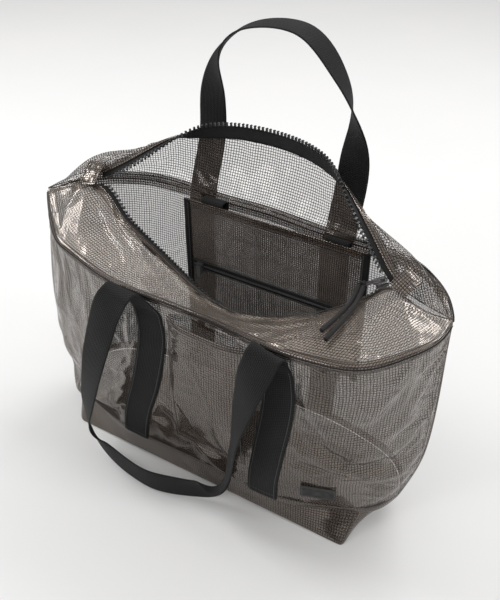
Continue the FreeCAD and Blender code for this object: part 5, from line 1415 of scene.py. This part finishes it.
# hangers: webbing from the back rim to the pocket's top
for side, xc in (("left", -66.0), ("right", 101.0)):
    hw, ht = 31.0, 1.6
    s, v = back_net.find(np.array([xc - hw / 2, xc, xc + hw / 2]), np.full(3, 303.0))
    ymin = float(back_net.at(s, v)[:, 1].min()) - SKIN - 3.0
    path = [(ymin, 294.0), (ymin, 305.0), (ymin - 1.2, 308.4), ((ymin + PY) / 2, 309.4), (PY + 0.3, 308.8), (PY - 0.9, 305.6)]
    ctrl = np.array([[(xc + o * hw, y, z) for o in S(-0.5, 0.5, 17)] for y, z in path])
    Mh, qh, dh = through(ctrl, 0.8)
    ob = strip_closed("pocket_%s_hanger_web" % side, Mh, normals_of(Mh), ht, WEB, edge=0.5)
    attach(ob, "bag")
    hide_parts("pocket_%s_hanger" % side)

# =============================================================== floor and lights
fm = Mat("floor")
tc = fm.nt.nodes.new("ShaderNodeTexCoord").outputs["Object"]
fn = fm.noise(tc, 3.0, 3.0)
sp = fm.nt.nodes.new("ShaderNodeSeparateXYZ")
fm.nt.links.new(tc, sp.inputs[0])
# from under the camera outwards the floor is painted dark grey: painted shade of the unlit studio floor past the paper,
# for the film to reflect
unlit_studio_shade = fm.math("SUBTRACT", -0.52, sp.outputs[1])
pale = fm.mix(fm.smooth(fn, 0.3, 0.7), (0.775, 0.778, 0.78, 1), (0.79, 0.79, 0.79, 1))
fm.set(Base_Color=fm.mix(fm.smooth(unlit_studio_shade, 0.0, 0.7), pale, (0.30, 0.30, 0.30, 1)))
fm.set(Roughness=0.75)
fme = bpy.data.meshes.new("floor")
fme.from_pydata([(-6, -6, 0), (6, -6, 0), (6, 6, 0), (-6, 6, 0)], [], [(0, 1, 2, 3)])
fme.materials.append(fm.m)
floor = bpy.data.objects.new("floor", fme)
scene.collection.objects.link(floor)

world = bpy.data.worlds.new("studio")
scene.world = world
world.use_nodes = True
wt = world.node_tree
bgn = wt.nodes["Background"]
bgn.inputs[0].default_value = (1.0, 0.99, 0.975, 1)
wc = wt.nodes.new("ShaderNodeTexCoord")
ws = wt.nodes.new("ShaderNodeSeparateXYZ")
wm = wt.nodes.new("ShaderNodeMapRange")
wm.interpolation_type = "SMOOTHSTEP"
wm.inputs["From Min"].default_value = 0.30
wm.inputs["From Max"].default_value = 0.62
wm.inputs["To Min"].default_value = 0.05
wm.inputs["To Max"].default_value = 0.80
wt.links.new(wc.outputs["Generated"], ws.inputs[0])
wt.links.new(ws.outputs[2], wm.inputs["Value"])
wt.links.new(wm.outputs[0], bgn.inputs[1])


def area(name, loc, target, size, power, size_y=None, color=(1, 1, 1)):
    ld = bpy.data.lights.new(name, "AREA")
    ld.energy = power
    ld.size = size
    ld.color = color
    if size_y:
        ld.shape = "RECTANGLE"
        ld.size_y = size_y
    lo = bpy.data.objects.new(name, ld)
    lo.location = loc
    lo.rotation_mode = "QUATERNION"
    lo.rotation_quaternion = (Vector(target) - Vector(loc)).to_track_quat("-Z", "Y")
    scene.collection.objects.link(lo)
    return lo


area("key_left", (-1.9, -0.25, 1.75), (0, 0, 0.1), 0.9, 25, 1.2)
area("top_back", (0.3, 1.5, 2.0), (0, 0, 0.1), 1.5, 19, 0.7)
area("front_box", (-0.9, -2.0, 1.2), (0, 0, 0.1), 0.5, 9, 1.0)
area("right_box", (2.0, 0.1, 1.4), (0, 0, 0.1), 0.5, 14, 1.0)
